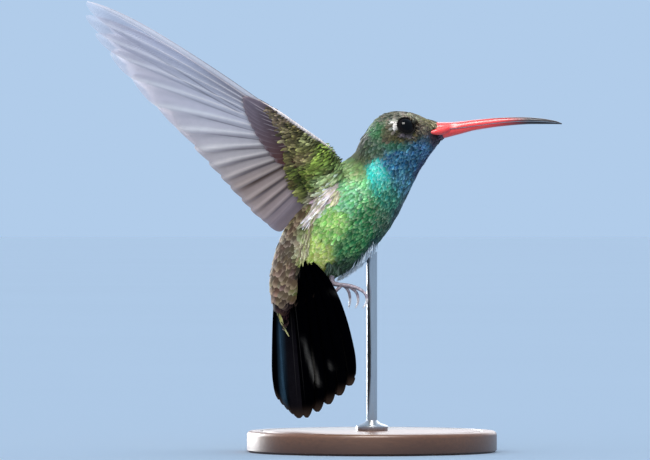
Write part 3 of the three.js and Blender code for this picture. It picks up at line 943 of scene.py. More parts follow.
    def read(self, points: Array) -> tuple[Array, Array, Array, Array]:
        """The markings at points of the body.

        Args:
            points: Places in millimetres.

        Returns:
            Tint, rim colour, gloss and unevenness, one row for each point.
        """
        x, z = points[:, 0], points[:, 2]
        weights = np.stack([patch.weight(x, z) for patch in self.patches], axis=1)
        weights /= weights.sum(axis=1, keepdims=True)
        tint = weights @ palette([patch.tint for patch in self.patches])
        rim = weights @ palette([patch.rim for patch in self.patches])
        gloss = weights @ np.array([patch.gloss for patch in self.patches])
        uneven = weights @ np.array([patch.uneven for patch in self.patches])
        marks = self.pale_marks(x, z)
        for share, pale in zip(marks, (self.spot_tint, self.streak_tint)):
            tint, rim = mix(tint, srgb(*pale), share), mix(rim, srgb(*pale), share)
        return tint, rim, gloss * (1 - marks.max(axis=0)), uneven

    def pale_marks(self, x: Array, z: Array) -> Array:
        """Marks the white spot behind the eye and the pale streaks under the wing.

        Args:
            x, z: Side-view places.

        Returns:
            Two rows: the shares of the spot and of the streaks.
        """
        across = (x - self.spot_centre[0]) / self.spot_reach[0]
        up = (z - self.spot_centre[1]) / self.spot_reach[1]
        spot = 1 - smoothstep(0.4, 1.5, np.hypot(across, up))
        gap = np.min([near_line(x, z, line)[1] for line in self.streaks], axis=0)
        streak = 1 - smoothstep(0.4, 1.3, gap / self.streak_half_width)
        return np.stack([spot, self.streak_strength * streak])


# ------------------------------------------------------------------ small feathers


@dataclass(frozen=True)
class SmallFeather:
    """The one small feather that every coat repeats: a thin closed vane, length 1 and width 1."""

    rows: tuple[float, ...] = (0.0, 0.38, 0.68, 0.9, 1.0)
    widest: float = 0.6
    camber: float = 0.1
    bow: float = 0.045
    thickness: float = 0.035
    narrowest: float = 0.22
    root_width: float = 0.35

    def half_width(self, x: float) -> float:
        """Half the width at a place along the feather.

        Args:
            x: The place, from 0 at the root to 1 at the tip.

        Returns:
            The half width there.
        """
        if x < self.widest:
            share = self.root_width + (1 - self.root_width) * math.sin(math.pi / 2 * x / self.widest)
        else:
            share = math.sqrt(max(0.0, 1 - ((x - self.widest) / (1 - self.widest)) ** 2))
        return 0.5 * max(share, self.narrowest)

    def build(self, name: str) -> bpy.types.Object:
        """Makes the feather, which only Geometry Nodes read.

        Args:
            name: The object's name.

        Returns:
            The feather.
        """
        points, maps = [], []
        for x in self.rows:
            half, height, thick = self.half_width(x), self.bow * math.sin(math.pi * x), self.thickness / 2
            edge = height - self.camber * half
            points += [(x, -half, edge), (x, 0.0, height + thick), (x, half, edge), (x, 0.0, height - thick)]
            maps += [(u, x) for u in (0.0, 0.5, 1.0, 0.5)]
        last = len(points) - 1
        faces = [(a, d, c, b) for a, b, c, d in band_faces(len(self.rows), 4)]
        faces += [(0, 1, 2, 3), (last, last - 1, last - 2, last - 3)]
        draft = MeshDraft()
        draft.add(np.array(points) / MM, faces, **{VANE_MAP: np.array(maps)})
        return draft.build(name)


@dataclass
class Roots:
    """Where small feathers grow, and how each lies; sizes in millimetres."""

    place: Array
    outward: Array
    lie: Array
    size: Array
    lift: Array
    tint: Array
    rim: Array
    gloss: Array
    unwrap: Array

    def kept(self, keep: Array) -> "Roots":
        """The roots that a mask keeps."""
        return Roots(**{name: rows[keep] for name, rows in vars(self).items()})

    @staticmethod
    def joined(parts: Sequence["Roots"]) -> "Roots":
        """Several sets of roots as one."""
        names = vars(parts[0])
        return Roots(**{name: np.concatenate([vars(part)[name] for part in parts]) for name in names})

    def cloud(self, name: str) -> bpy.types.Object:
        """Makes loose points with the roots' values, for the coat's tree.

        Args:
            name: The object's name.

        Returns:
            The points.
        """
        mesh = bpy.data.meshes.new(name)
        mesh.from_pydata((self.place * MM).tolist(), [], [])
        values = {
            "FLOAT_VECTOR": {
                "outward": self.outward, "lie": self.lie, "size": self.size * MM,
                "unwrap": np.pad(self.unwrap, ((0, 0), (0, 1))),
            },
            "FLOAT_COLOR": {"tint": self.tint, "rim": self.rim},
            "FLOAT": {"lift": self.lift, "gloss": self.gloss},
        }
        for kind, named in values.items():
            for label, rows in named.items():
                add_values(mesh, label, kind, rows)
        return add_object(name, mesh)


@dataclass(frozen=True)
class CoatTree:
    """The Geometry Nodes tree that sets one small feather on every root."""

    name: str = "Small feather coat"
    patch: float = 0.003

    def tree(self) -> bpy.types.NodeTree:
        """Makes the tree, or finds it once it is made.

        Returns:
            A tree with inputs Feather, Material, Seed, Turn, Lift and Growth.
        """
        if self.name in bpy.data.node_groups:
            return bpy.data.node_groups[self.name]
        tree = bpy.data.node_groups.new(self.name, "GeometryNodeTree")
        face = tree.interface
        face.new_socket("Geometry", in_out="OUTPUT", socket_type="NodeSocketGeometry")
        kinds = {"Geometry": "Geometry", "Feather": "Object", "Material": "Material", "Seed": "Int"}
        kinds |= {"Turn": "Float", "Lift": "Float", "Growth": "Float"}
        for label, kind in kinds.items():
            face.new_socket(label, in_out="INPUT", socket_type=f"NodeSocket{kind}")
        ink = NodeSketch(tree)
        given = ink.add("NodeGroupInput").outputs

        def named(label: str, kind: str = "FLOAT_VECTOR") -> bpy.types.NodeSocket:
            """A named attribute of the geometry."""
            node = ink.add("GeometryNodeInputNamedAttribute", {"Name": label}, data_type=kind)
            return next(s for s in node.outputs if s.enabled)

        def varied(label: str, salt: float) -> bpy.types.NodeSocket:
            """Draws a number for each root.

            Args:
                label: The input that it stays within, plus or minus.
                salt: Keeps its draws apart from the others.

            Returns:
                The number's socket.
            """
            low, seed = ink.math("MULTIPLY", given[label], -1.0), ink.math("ADD", given["Seed"], salt)
            ends = {"Min_001": low, "Max_001": given[label], "Seed": seed}
            node = ink.add("FunctionNodeRandomValue", ends, data_type="FLOAT")
            return next(s for s in node.outputs if s.identifier == "Value_001")

        def vectors(operation: str, inputs: Inputs) -> bpy.types.NodeSocket:
            """A Vector Math node's result."""
            return ink.add("ShaderNodeVectorMath", inputs, operation=operation).outputs[0]

        axes = {0: named("lie"), 1: named("outward")}
        lain = ink.add("FunctionNodeAxesToRotation", axes, primary_axis="X", secondary_axis="Z")
        lifted = ink.math("MULTIPLY", ink.math("ADD", named("lift", "FLOAT"), varied("Lift", 1.0)), -1.0)
        tilt = {0: varied("Turn", 2.0), 1: lifted, 2: varied("Turn", 3.0)}
        tilt = ink.add("FunctionNodeEulerToRotation", {0: ink.add("ShaderNodeCombineXYZ", tilt).outputs[0]})
        both = {0: lain.outputs[0], 1: tilt.outputs[0]}
        tilted = ink.add("FunctionNodeRotateRotation", both, rotation_space="LOCAL").outputs[0]
        growth = ink.math("ADD", varied("Growth", 4.0), 1.0)
        placing = {
            "Points": ink.add("GeometryNodeMeshToPoints", {"Mesh": given["Geometry"]}).outputs[0],
            "Instance": ink.add("GeometryNodeObjectInfo", {"Object": given["Feather"]}).outputs["Geometry"],
            "Rotation": tilted, "Scale": vectors("SCALE", {0: named("size"), "Scale": growth}),
        }
        placed = ink.add("GeometryNodeInstanceOnPoints", placing).outputs[0]
        real = ink.add("GeometryNodeRealizeInstances", {"Geometry": placed}).outputs[0]
        local = vectors("SUBTRACT", {0: named(VANE_MAP), 1: (0.5, 0.5, 0.0)})
        local = vectors("SCALE", {0: local, "Scale": self.patch})
        unwrap = vectors("ADD", {0: named("unwrap"), 1: local})
        mapped = ink.add("GeometryNodeStoreNamedAttribute", data_type="FLOAT2", domain="CORNER")
        for label, value in {"Geometry": real, "Name": BAKE_MAP, "Value": unwrap}.items():
            ink.feed(mapped.inputs[label], value)
        dressing = {"Geometry": mapped.outputs[0], "Material": given["Material"]}
        ink.add("NodeGroupOutput", {0: ink.add("GeometryNodeSetMaterial", dressing).outputs[0]})
        return tree

    def grow(
        self, name: str, roots: Roots, feather: bpy.types.Object, material: bpy.types.Material,
        jitter: tuple[float, float, float],
    ) -> bpy.types.Object:
        """Grows one coat and turns it into a plain mesh.

        Args:
            name: The piece's name.
            roots: Where its feathers grow.
            feather: The feather that it repeats.
            material: Its finish.
            jitter: How far turn, lift (radians) and growth (share) may vary.

        Returns:
            The coat.
        """
        made = roots.cloud(name)
        modifier = made.modifiers.new("coat", "NODES")
        modifier.node_group = self.tree()
        values = {"Feather": feather, "Material": material, "Seed": SEED}
        values |= dict(zip(("Turn", "Lift", "Growth"), jitter))
        for item in modifier.node_group.interface.items_tree:
            if item.item_type == "SOCKET" and item.in_out == "INPUT" and item.name in values:
                modifier[item.identifier] = values[item.name]
        graph = bpy.context.evaluated_depsgraph_get()
        mesh = bpy.data.meshes.new_from_object(made.evaluated_get(graph), depsgraph=graph)
        made.modifiers.clear()
        made.data = mesh
        mesh.name = name
        for label in ("outward", "lie", "size", "lift", "unwrap"):
            if label in mesh.attributes:
                mesh.attributes.remove(mesh.attributes[label])
        if not mesh.materials:
            mesh.materials.append(material)
        return made


# ------------------------------------------------------------------ eyes


@dataclass(frozen=True)
class Eyes:
    """Both eyeballs and the bare rims of their lids."""

    centre: tuple[float, float, float] = (5.0, 3.62, 51.45)
    axis: tuple[float, float, float] = (0.28, 0.85, 0.44)
    radius: float = 2.0
    opening: float = 1.4
    lid_width: float = 0.1
    segments: int = 48
    rows: int = 25
    pole: float = 0.001
    lid_section: tuple[tuple[float, float], ...] = (
        (1.5, -0.35), (1.1, 0.14), (0.7, 0.2), (0.3, 0.19), (0.06, 0.13), (0.0, 0.05), (0.05, -0.02),
        (0.8, -0.3),
    )

    def middle(self, side: Side) -> Array:
        """The eyeball's centre."""
        return np.array(self.centre) * (1, side.value, 1)

    def looks(self, side: Side) -> Array:
        """The direction that the eye looks in."""
        return unit(np.array(self.axis) * (1, side.value, 1))

    def around(self, side: Side, turns: Array) -> Array:
        """Finds directions square to the eye's axis.

        Args:
            side: Which eye.
            turns: Turns round the axis, in radians.

        Returns:
            One direction for each turn.
        """
        first = unit(np.cross(self.looks(side), [0.0, 0.0, 1.0]))
        second = np.cross(self.looks(side), first)
        return np.cos(turns)[:, None] * first + np.sin(turns)[:, None] * second

    def dome(self, side: Side, profile: Sequence[tuple[float, float]]) -> Array:
        """Rings round the eye's axis.

        Args:
            side: Which eye.
            profile: Angle from the axis, in radians, and distance from the centre, for each ring.

        Returns:
            The points, ring after ring.
        """
        around = self.around(side, turns_round(self.segments))
        rings = [
            self.middle(side) + reach * (math.cos(angle) * self.looks(side) + math.sin(angle) * around)
            for angle, reach in profile
        ]
        return np.concatenate(rings)

    def build(self) -> list[bpy.types.Object]:
        """Makes the eyeballs and lids.

        Returns:
            Both sides' pieces.
        """
        made = []
        wet = EyeFinish().build()
        bare = HideFinish("lid_skin", (26, 23, 20), (9, 8, 7), 0.8, 5000.0, 0.6, 0.1).build()
        for side in Side:
            last = self.rows - 1 + 2 * self.pole
            profile = [(math.pi * (i + self.pole) / last, self.radius) for i in range(self.rows)]
            ball = self.dome(side, profile)
            facing = (ball - self.middle(side)) @ self.looks(side) / self.radius
            draft = MeshDraft()
            draft.add(ball, tube_faces(self.rows, self.segments), facing=facing)
            eye = draft.build(f"eyeball_{side.word}", wet)
            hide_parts(f"eye_{side.word}")
            made += [eye, self.lid(side, bare)]
        return made

    def lid(self, side: Side, material: bpy.types.Material) -> bpy.types.Object:
        """Makes the rim of bare skin that lies on the eyeball, rolled at its inner edge.

        Args:
            side: Which eye.
            material: The finish.

        Returns:
            The lid.
        """
        edge = math.asin(self.opening / (self.radius + 0.06))
        width = self.lid_width / self.radius
        profile = [(edge + share * width, self.radius + out) for share, out in self.lid_section]
        rows = self.dome(side, profile).reshape(len(profile), self.segments, 3)
        bead = 1 + 0.012 * np.sin(np.arange(self.segments) * 2 * math.pi / 3)
        middle = self.middle(side)
        rows[1:5] = middle + (rows[1:5] - middle) * bead[None, :, None]
        points = len(profile) * self.segments
        faces = [[k % points for k in face] for face in band_faces(len(profile) + 1, self.segments)]
        draft = MeshDraft()
        draft.add(rows.reshape(-1, 3), faces)
        made = draft.build(f"lid_{side.word}", material)
        return made


# ------------------------------------------------------------------ skin and coat


@dataclass(frozen=True)
class Tract:
    """A stretch of small feathers of one kind on the body."""

    name: str
    slot: Slot
    along: tuple[float, float]
    spacing: tuple[float, float]
    holds: Callable[[Array, Array], Array]
    length: float
    breadth: float
    row: float
    lift: float
    jitter: tuple[float, float, float]


@dataclass(frozen=True)
class Tuft:
    """Long loose feathers that spring from a line on both flanks, placed in side view."""

    name: str
    start: tuple[float, float]
    end: tuple[float, float]
    heading: float
    fan: float
    number: int
    length: float
    width: float
    lift: float
    height: float
    tints: tuple[Colour, ...]


@dataclass
class Coat:
    """The skin and its small feathers, from the bill to the tail coverts."""

    form: BodyForm
    plumage: Plumage
    eyes: Eyes
    depth: float = 0.4
    skin_rings: int = 96
    skin_sides: int = 64
    face_clear: float = 0.008
    shown: float = 0.7
    patchiness: float = 0.55
    warmth: float = 0.06
    stray: tuple[float, float] = (0.0022, 0.02)
    tuft_stray: float = 0.25
    tuft_uneven: float = 0.2
    tuft_rim: float = 1.3
    tuft_lengths: tuple[float, float] = (0.7, 0.5)
    orbit_rings: tuple[tuple[float, float], ...] = ((1.44, 0.0), (1.58, 0.05), (1.74, 0.12))
    orbit_gap: float = 0.2
    orbit_size: tuple[float, float, float] = (0.62, 0.3, 0.6)
    orbit_lift: float = 0.1
    orbit_gloss: float = 0.5
    eye_reach: float = 4.5
    eye_flow: tuple[float, float] = (0.5, 1.6)
    eye_shrink: float = 0.6
    eye_overlap: float = 0.35
    lid_clear: float = 0.12
    gape: tuple[float, float, float, float] = (10.6, 51.15, 1.5, 0.62)
    tufts: tuple[Tuft, ...] = (
        Tuft("thigh", (-7.0, 30.0), (-5.2, 29.4), 262, 0.25, 80, 1.3, 0.26, 0.12, 0.1,
             ((52, 70, 52), (74, 92, 72), (100, 112, 98), (44, 56, 44))),
        Tuft("axillaries", (-5.6, 43.1), (-9.8, 37.9), 229, 0.09, 340, 2.3, 0.22, 0.05, -0.15,
             ((228, 206, 202), (212, 192, 186), (210, 194, 168), (186, 172, 146), (158, 156, 120),
              (232, 218, 212))),
        Tuft("axillary_spike", (-5.5, 42.0), (-5.9, 40.6), 250, 0.06, 36, 1.4, 0.2, 0.05, -0.15,
             ((198, 190, 162), (178, 168, 138), (160, 160, 116))),
        Tuft("flank_line", (-10.3, 35.6), (-10.9, 31.4), 258, 0.1, 84, 1.4, 0.22, 0.05, -0.2,
             ((206, 200, 154), (188, 180, 138), (178, 174, 116))),
        Tuft("flank_edge", (-9.2, 39.6), (-10.9, 31.6), 250, 0.14, 180, 1.5, 0.24, 0.05, -0.25,
             ((142, 128, 102), (118, 106, 80), (128, 136, 74), (158, 144, 116))),
        Tuft("vent_down", (0.6, 33.1), (-4.0, 27.4), 256, 0.3, 420, 1.25, 0.05, 0.5, -0.25,
             ((206, 216, 224), (184, 194, 202), (164, 174, 182), (216, 226, 232))),
        Tuft("forehead_point", (9.5, 53.0), (10.2, 52.6), 338, 0.3, 90, 0.9, 0.24, 0.04, -0.15,
             ((98, 92, 66), (132, 122, 94), (70, 66, 54))),
        Tuft("chin_point", (10.8, 50.0), (11.8, 50.45), 18, 0.16, 90, 1.1, 0.22, 0.02, -0.15,
             ((96, 78, 92), (70, 58, 72), (122, 98, 110))),
        Tuft("covert_tip", (-15.4, 22.9), (-15.3, 22.4), 268, 0.03, 4, 3.1, 0.4, 0.04, -0.2,
             ((158, 152, 84), (176, 168, 112))),
    )

    def skin(self) -> bpy.types.Object:
        """Makes one closed skin, inside the solids of head, neck and torso by the coat's depth.

        Returns:
            The skin.
        """
        t = np.repeat(np.linspace(0, 1, self.skin_rings), self.skin_sides)
        angle = np.tile(turns_round(self.skin_sides), self.skin_rings)
        points = self.form.points(t, angle, -self.depth)
        values = {"tint": self.plumage.read(points)[0], BAKE_MAP: np.stack([angle / FULL_TURN, t], axis=1)}
        draft = MeshDraft()
        draft.add(points, tube_faces(self.skin_rings, self.skin_sides), **values)
        made = draft.build("skin", SkinFinish().build())
        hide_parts("head", "neck", "torso")
        return made

    def markings(self, place: Array, rng: np.random.Generator, warmth: float = 0.0) -> dict[str, Array]:
        """Colours feathers by where they show, some brighter than others.

        Args:
            place: The places.
            rng: Draws how bright and how warm each is.
            warmth: How far the hues may vary.

        Returns:
            Tint, rim and gloss, by name.
        """
        tint, rim, gloss, uneven = self.plumage.read(place)
        bright = np.exp(rng.normal(0, self.patchiness, len(place)) * uneven)[:, None]
        warm = 1 + rng.normal(0, warmth, (len(place), 3)) if warmth else 1.0
        return {
            "tint": np.clip(tint * bright * warm, 0, 1), "rim": np.clip(rim * bright * warm, 0, 1),
            "gloss": gloss,
        }

    def spread(self, tract: Tract) -> tuple[Array, Array, Array]:
        """Spreads one tract in staggered rows round the body.

        Args:
            tract: The tract.

        Returns:
            Place along, turn and spacing of each feather.
        """
        made = []
        t, end = tract.along
        row = 0
        while t < end:
            share = (t - tract.along[0]) / (end - tract.along[0])
            gap = tract.spacing[0] + (tract.spacing[1] - tract.spacing[0]) * share
            ring = self.form.points(np.full(64, t), np.linspace(0, FULL_TURN, 64))
            number = max(6, round(np.linalg.norm(np.diff(ring, axis=0), axis=1).sum() / gap))
            turn = (np.arange(number) + 0.5 * (row % 2)) * 2 * math.pi / number
            made.append((np.full(number, t), turn, np.full(number, gap)))
            near = self.form.points(np.array([t, t + 0.002]), np.array([math.pi / 2] * 2))
            t += 0.002 * tract.row * gap / np.linalg.norm(near[1] - near[0])
            row += 1
        return tuple(np.concatenate(parts) for parts in zip(*made))

    def lattice(self, tract: Tract, rng: np.random.Generator) -> Roots:
        """Finds the feather roots of one tract.

        Args:
            tract: The tract.
            rng: Draws how far each root strays, and its colour.

        Returns:
            The roots.
        """
        t, angle, gap = self.spread(tract)
        t = t + rng.normal(0, self.stray[0], len(t))
        angle = angle + rng.normal(0, self.stray[1], len(t))
        t = np.clip(t, 0.0, 1.0)
        point = self.form.points(t, angle, -self.depth)
        outward, lie = self.form.directions(t, angle)
        length = gap * tract.length
        roots = Roots(
            place=point, outward=outward, lie=lie,
            size=np.stack([length, gap * tract.breadth, length], axis=1), lift=np.full(len(t), tract.lift),
            unwrap=np.stack([(angle / FULL_TURN) % 1, t], axis=1),
            **self.markings(point + lie * (self.shown * length)[:, None], rng, self.warmth),
        )
        x, z, long, high = self.gape
        bare = np.hypot((point[:, 0] - x) / long, (point[:, 2] - z) / high) < 1
        keep = tract.holds(point, np.cos(angle)) & (t > self.face_clear) & ~bare
        return self.round_the_eyes(roots.kept(keep))

    def round_the_eyes(self, roots: Roots) -> Roots:
        """Turns feathers so that they flow round the lids, and drops those on the eyes.

        Args:
            roots: The roots of a tract.

        Returns:
            Those that stay.
        """
        rim = self.eyes.opening + self.lid_clear
        keep = np.ones(len(roots.place), bool)
        for side in Side:
            axis = self.eyes.looks(side)
            offset = roots.place - self.eyes.middle(side)
            offset = offset - np.outer(offset @ axis, axis)
            gap = np.linalg.norm(offset, axis=1)
            near = (np.sign(roots.place[:, 1]) == side.value) & (gap < self.eye_reach)
            keep &= ~(near & (gap < rim))
            away = offset / np.maximum(gap, 1e-9)[:, None]
            inward = np.minimum(np.sum(roots.lie * away, axis=1), 0)
            first, last = (rim + flow for flow in self.eye_flow)
            share = np.where(near, 1 - smoothstep(first, last, gap), 0)
            roots.lie = unit(roots.lie - away * (inward * share)[:, None])
            reach = roots.size[:, 0]
            steps = roots.lie * reach[:, None] * 0.95
            tips = offset + steps - np.outer(steps @ axis, axis)
            along = np.clip(-np.sum(offset * (tips - offset), axis=1) / np.maximum(reach**2, 1e-9), 0, 1)
            nearest = np.linalg.norm(offset + (tips - offset) * along[:, None], axis=1)
            roots.size[near & (nearest < rim)] *= self.eye_shrink
            keep &= ~(near & (nearest < rim - self.eye_overlap))
        return roots.kept(keep)

    def orbital(self, rng: np.random.Generator) -> Roots:
        """Sets rings of the smallest feathers, which radiate from the edge of each lid.

        Args:
            rng: Draws how far each strays, and its colour.

        Returns:
            Their roots.
        """
        parts = []
        for side in Side:
            axis = self.eyes.looks(side)
            for ring, (radius, sunk) in enumerate(self.orbit_rings):
                number = round(FULL_TURN * radius / self.orbit_gap)
                turn = (np.arange(number) + 0.5 * (ring % 2)) * 2 * math.pi / number
                turn = turn + rng.normal(0, 0.05, number)
                away = self.eyes.around(side, turn)
                out = axis * (math.sqrt(max(self.eyes.radius**2 - radius**2, 0.3)) - sunk) + away * radius
                lie = in_surface(unit(away + np.array([-0.5, 0.0, 0.0])), unit(out))
                place = self.eyes.middle(side) + out
                colours = self.markings(place + lie * 0.35, rng)
                colours["gloss"] = colours["gloss"] * self.orbit_gloss
                size, lift = np.tile(self.orbit_size, (number, 1)), np.full(number, self.orbit_lift)
                unwrap = np.stack([turn / 12.6 + 0.5 * (side.value > 0), 0.1 + 0.04 * away[:, 0]], axis=1)
                parts.append(Roots(place, unit(out), lie, size, lift, unwrap=unwrap, **colours))
        return Roots.joined(parts)

    def tuft(self, tuft: Tuft, rng: np.random.Generator) -> Roots:
        """Sets one tuft on both sides of the body.

        Args:
            tuft: The tuft.
            rng: Draws place, heading, length and colour.

        Returns:
            The roots of its feathers.
        """
        parts = []
        count = tuft.number
        for side in Side:
            share = rng.random(count)
            ends = zip(tuft.start, tuft.end)
            x, z = (a + (b - a) * share + rng.normal(0, self.tuft_stray, count) for a, b in ends)
            t, angle = self.form.find(x, z, side)
            outward, _ = self.form.directions(t, angle)
            heading = math.radians(tuft.heading) + rng.normal(0, tuft.fan, count)
            lie = in_surface(np.stack([np.cos(heading), np.zeros(count), np.sin(heading)], axis=1), outward)
            tint = palette(tuft.tints)[rng.integers(0, len(tuft.tints), count)]
            bright = np.exp(rng.normal(0, self.tuft_uneven, count))[:, None]
            least, more = self.tuft_lengths
            length = tuft.length * (least + more * rng.random(count))
            parts.append(
                Roots(
                    place=self.form.points(t, angle, tuft.height), outward=outward, lie=lie,
                    size=np.stack([length, np.full(count, tuft.width), length * 0.8], axis=1),
                    lift=np.full(count, tuft.lift), tint=np.clip(tint * bright, 0, 1),
                    rim=np.clip(tint * bright * self.tuft_rim, 0, 1), gloss=np.zeros(count),
                    unwrap=np.stack([(angle / FULL_TURN) % 1, t], axis=1),
                )
            )
        return Roots.joined(parts)

    def build(self, feather: bpy.types.Object) -> list[bpy.types.Object]:
        """Makes the skin and every tract of small feathers.

        Args:
            feather: The feather that the coats repeat.

        Returns:
            The pieces.
        """
        made = [self.skin()]
        rng = np.random.default_rng(SEED)
        plain, metal, scaled = (
            FeatherFinish(name, rough, barbs, slant, rim, root, specular=gloss).build()
            for name, rough, barbs, slant, rim, root, gloss in (
                ("body_feather", 0.58, 7, 0.35, 0.4, 0.62, 0.12),
                ("throat_feather", 0.44, 6, 0.3, 0.46, 0.45, 0.2),
                ("back_feather", 0.7, 9, 0.3, 0.46, 0.8, 0.1),
            )
        )
        finishes = {"throat": metal, "back": scaled, "rump": scaled}
        for tract in self.tracts():
            roots = self.lattice(tract, rng)
            if tract.name == "crown":
                roots = Roots.joined([roots, self.orbital(rng)])
            finish = finishes.get(tract.name, plain)
            coat = CoatTree().grow(f"coat_{tract.name}", roots, feather, finish, tract.jitter)
            made.append(coat)
        roots = Roots.joined([self.tuft(tuft, rng) for tuft in self.tufts])
        loose = CoatTree().grow("coat_tufts", roots, feather, plain, (0.14, 0.08, 0.2))
        return [*made, loose]

    def tracts(self) -> tuple[Tract, ...]:
        """Lists the tracts, which meet without a gap and overlap a little where they meet.

        Returns:
            The tracts, from the bill to the tail.
        """

        def throat(p: Array, _: Array) -> Array:
            """The gorget, from the chin down to the breast."""
            return p[:, 2] < 49.6 + 0.32 * (p[:, 0] - 6.0) * (p[:, 0] > 3.0) + 0.2 * (p[:, 0] - 3)

        def crown(p: Array, up: Array) -> Array:
            """All of the head that isn't gorget."""
            return ~throat(p, up) | (p[:, 0] < 1.5)

        def back(p: Array, up: Array) -> Array:
            """The brown back, behind the flank's upper edge, and the shoulders' top."""
            edge = -9.7 - 0.155 * (39.5 - p[:, 2])
            return ((up >= 0.45) & (p[:, 0] < edge)) | ((up >= 0.86) & (p[:, 2] > 40.5))

        def body(p: Array, up: Array) -> Array:
            """All of the torso that isn't back."""
            return ~back(p, up)

        def rump(_: Array, up: Array) -> Array:
            """The whole way round."""
            return up > -2

        head, torso, hind = (0.0, 0.42), (0.4, 0.8), (0.78, 0.985)
        soft, flat = (0.3, 0.05, 0.2), (0.08, 0.02, 0.1)
        return (
            Tract("crown", Slot.CROWN, head, (0.32, 0.56), crown, 2.5, 1.3, 0.66, 0.06, soft),
            Tract("throat", Slot.THROAT, head, (0.34, 0.5), throat, 2.4, 1.4, 0.66, 0.09, soft),
            Tract("body", Slot.BODY, torso, (0.42, 0.5), body, 3.1, 1.3, 0.66, 0.07, soft),
            Tract("back", Slot.BODY, torso, (0.8, 0.84), back, 2.6, 1.5, 1.45, 0.04, flat),
            Tract("rump", Slot.BODY, hind, (0.8, 0.84), rump, 2.6, 1.5, 1.45, 0.04, flat),
        )


# ------------------------------------------------------------------ long feathers


@dataclass(frozen=True)
class LongFeather:
    """One flight or tail feather in the flat of its fan: u along the fan, v across, w up."""

    root: tuple[float, float]
    length: float
    angle: Callable[[float], float]
    lead: float
    trail: float
    slope: float
    bluntness: float
    lift: Callable[[float], float] = lambda t: 0.0
    rows: int = 44
    thickness: float = 0.14
    shaft: float = 0.1
    shaft_rise: float = 0.09
    keel_rise: float = 0.09
    shaft_tone: float = 1.0
    narrowest: float = 0.16
    opening: float = 0.3
    full_at: float = 0.4
    notches: int = 1
    notch_depth: float = 0.16
    skew: float = 0.0
    tip_crowding: float = 1.35
    shares: tuple[float, ...] = (-1, -0.82, -0.58, -0.32, 0.32, 0.58, 0.82, 1)
    fine_shares: tuple[float, ...] = (-1, -0.8, -0.6, -0.4, -0.2, *(k / 10 for k in range(1, 11)))
    shaft_steps: tuple[float, ...] = (-2, -1, 0, 1, 2)

    def width(self, t: float) -> float:
        """Share of the full width at a place along the feather.

        Args:
            t: The place, from 0 at the root to 1 at the tip.

        Returns:
            The share.
        """
        opening = self.opening + (1 - self.opening) * math.sin(math.pi / 2 * min(1, t / self.full_at))
        past = max(0.0, (t - 1 + self.bluntness) / self.bluntness)
        return opening * max(math.sqrt(max(0.0, 1 - past**2)), self.narrowest)

    def columns(self, t: float, trim: float) -> list[tuple[float, ...]]:
        """Points across the vane at one place along it.

        Args:
            t: The place, from 0 at the root to 1 at the tip.
            trim: Share of the trailing vane's width that a split leaves.

        Returns:
            Offset from the shaft, height of the upper and of the lower face, place across from -1
            to 1 and how much the point belongs to the shaft, for each column.
        """
        full = self.width(t)
        shaft = self.shaft * (1 - 0.7 * t) * min(1.0, full * 4)
        made = []
        for share in self.shares:
            reach = self.lead if share < 0 else self.trail * trim
            side = math.copysign(max(abs(reach * share * full), shaft * (2 + abs(share))), share)
            height = self.thickness / 2 * (1 - abs(share) ** 3)
            made.append((side, height, height, share, 0.0))
        for step in self.shaft_steps:
            ridge = (1 - 0.9 * smoothstep(0.5, 1.0, t)) * (1 - abs(step) / 2) ** 0.5
            high, low = (self.thickness / 2 + rise * ridge for rise in (self.shaft_rise, self.keel_rise))
            belongs = self.shaft_tone * (abs(step) < 2) * (1 - 0.3 * t) * (1 - smoothstep(0.75, 0.96, t))
            made.append((step * shaft, high, low, 0.02 * step, belongs))
        return sorted(made)

    def rows_of(self, rng: np.random.Generator) -> tuple[Array, Array]:
        """Rows of points across the vane.

        Args:
            rng: Draws the small splits in the vane's edges.

        Returns:
            Middle points as u, v and w, and for each point the heights of the upper and lower
            face, its place along and across, and how much it belongs to the shaft.
        """
        split_rows = rng.integers(12, self.rows - 3, self.notches)
        splits = {int(k): 1 - self.notch_depth * rng.random() for k in split_rows}
        middle, values = [], []
        u, v = self.root
        before = 0.0
        for i in range(self.rows):
            t = 1 - (1 - i / (self.rows - 1)) ** self.tip_crowding
            heading = self.angle(t)
            u += (t - before) * self.length * math.cos(heading)
            v += (t - before) * self.length * math.sin(heading)
            before = t
            row = self.columns(t, splits.get(i, 1.0))
            ahead = np.array([math.cos(heading), math.sin(heading)])
            aside = np.array([-ahead[1], ahead[0]]) + ahead * self.skew * smoothstep(0.3, 1.0, t)
            lift = self.lift(t)
            middle.append([(u + s * aside[0], v + s * aside[1], lift - self.slope * s) for s, *_ in row])
            values.append([(high, low, t, across, shaft) for _, high, low, across, shaft in row])
        return np.array(middle), np.array(values)


@dataclass(frozen=True)
class FeatherLook:
    """What a paint function gives for a long feather: values for each point of a vane."""

    tint: Array
    rim: Array
    opacity: Array | None = None
    upper: Array | None = None


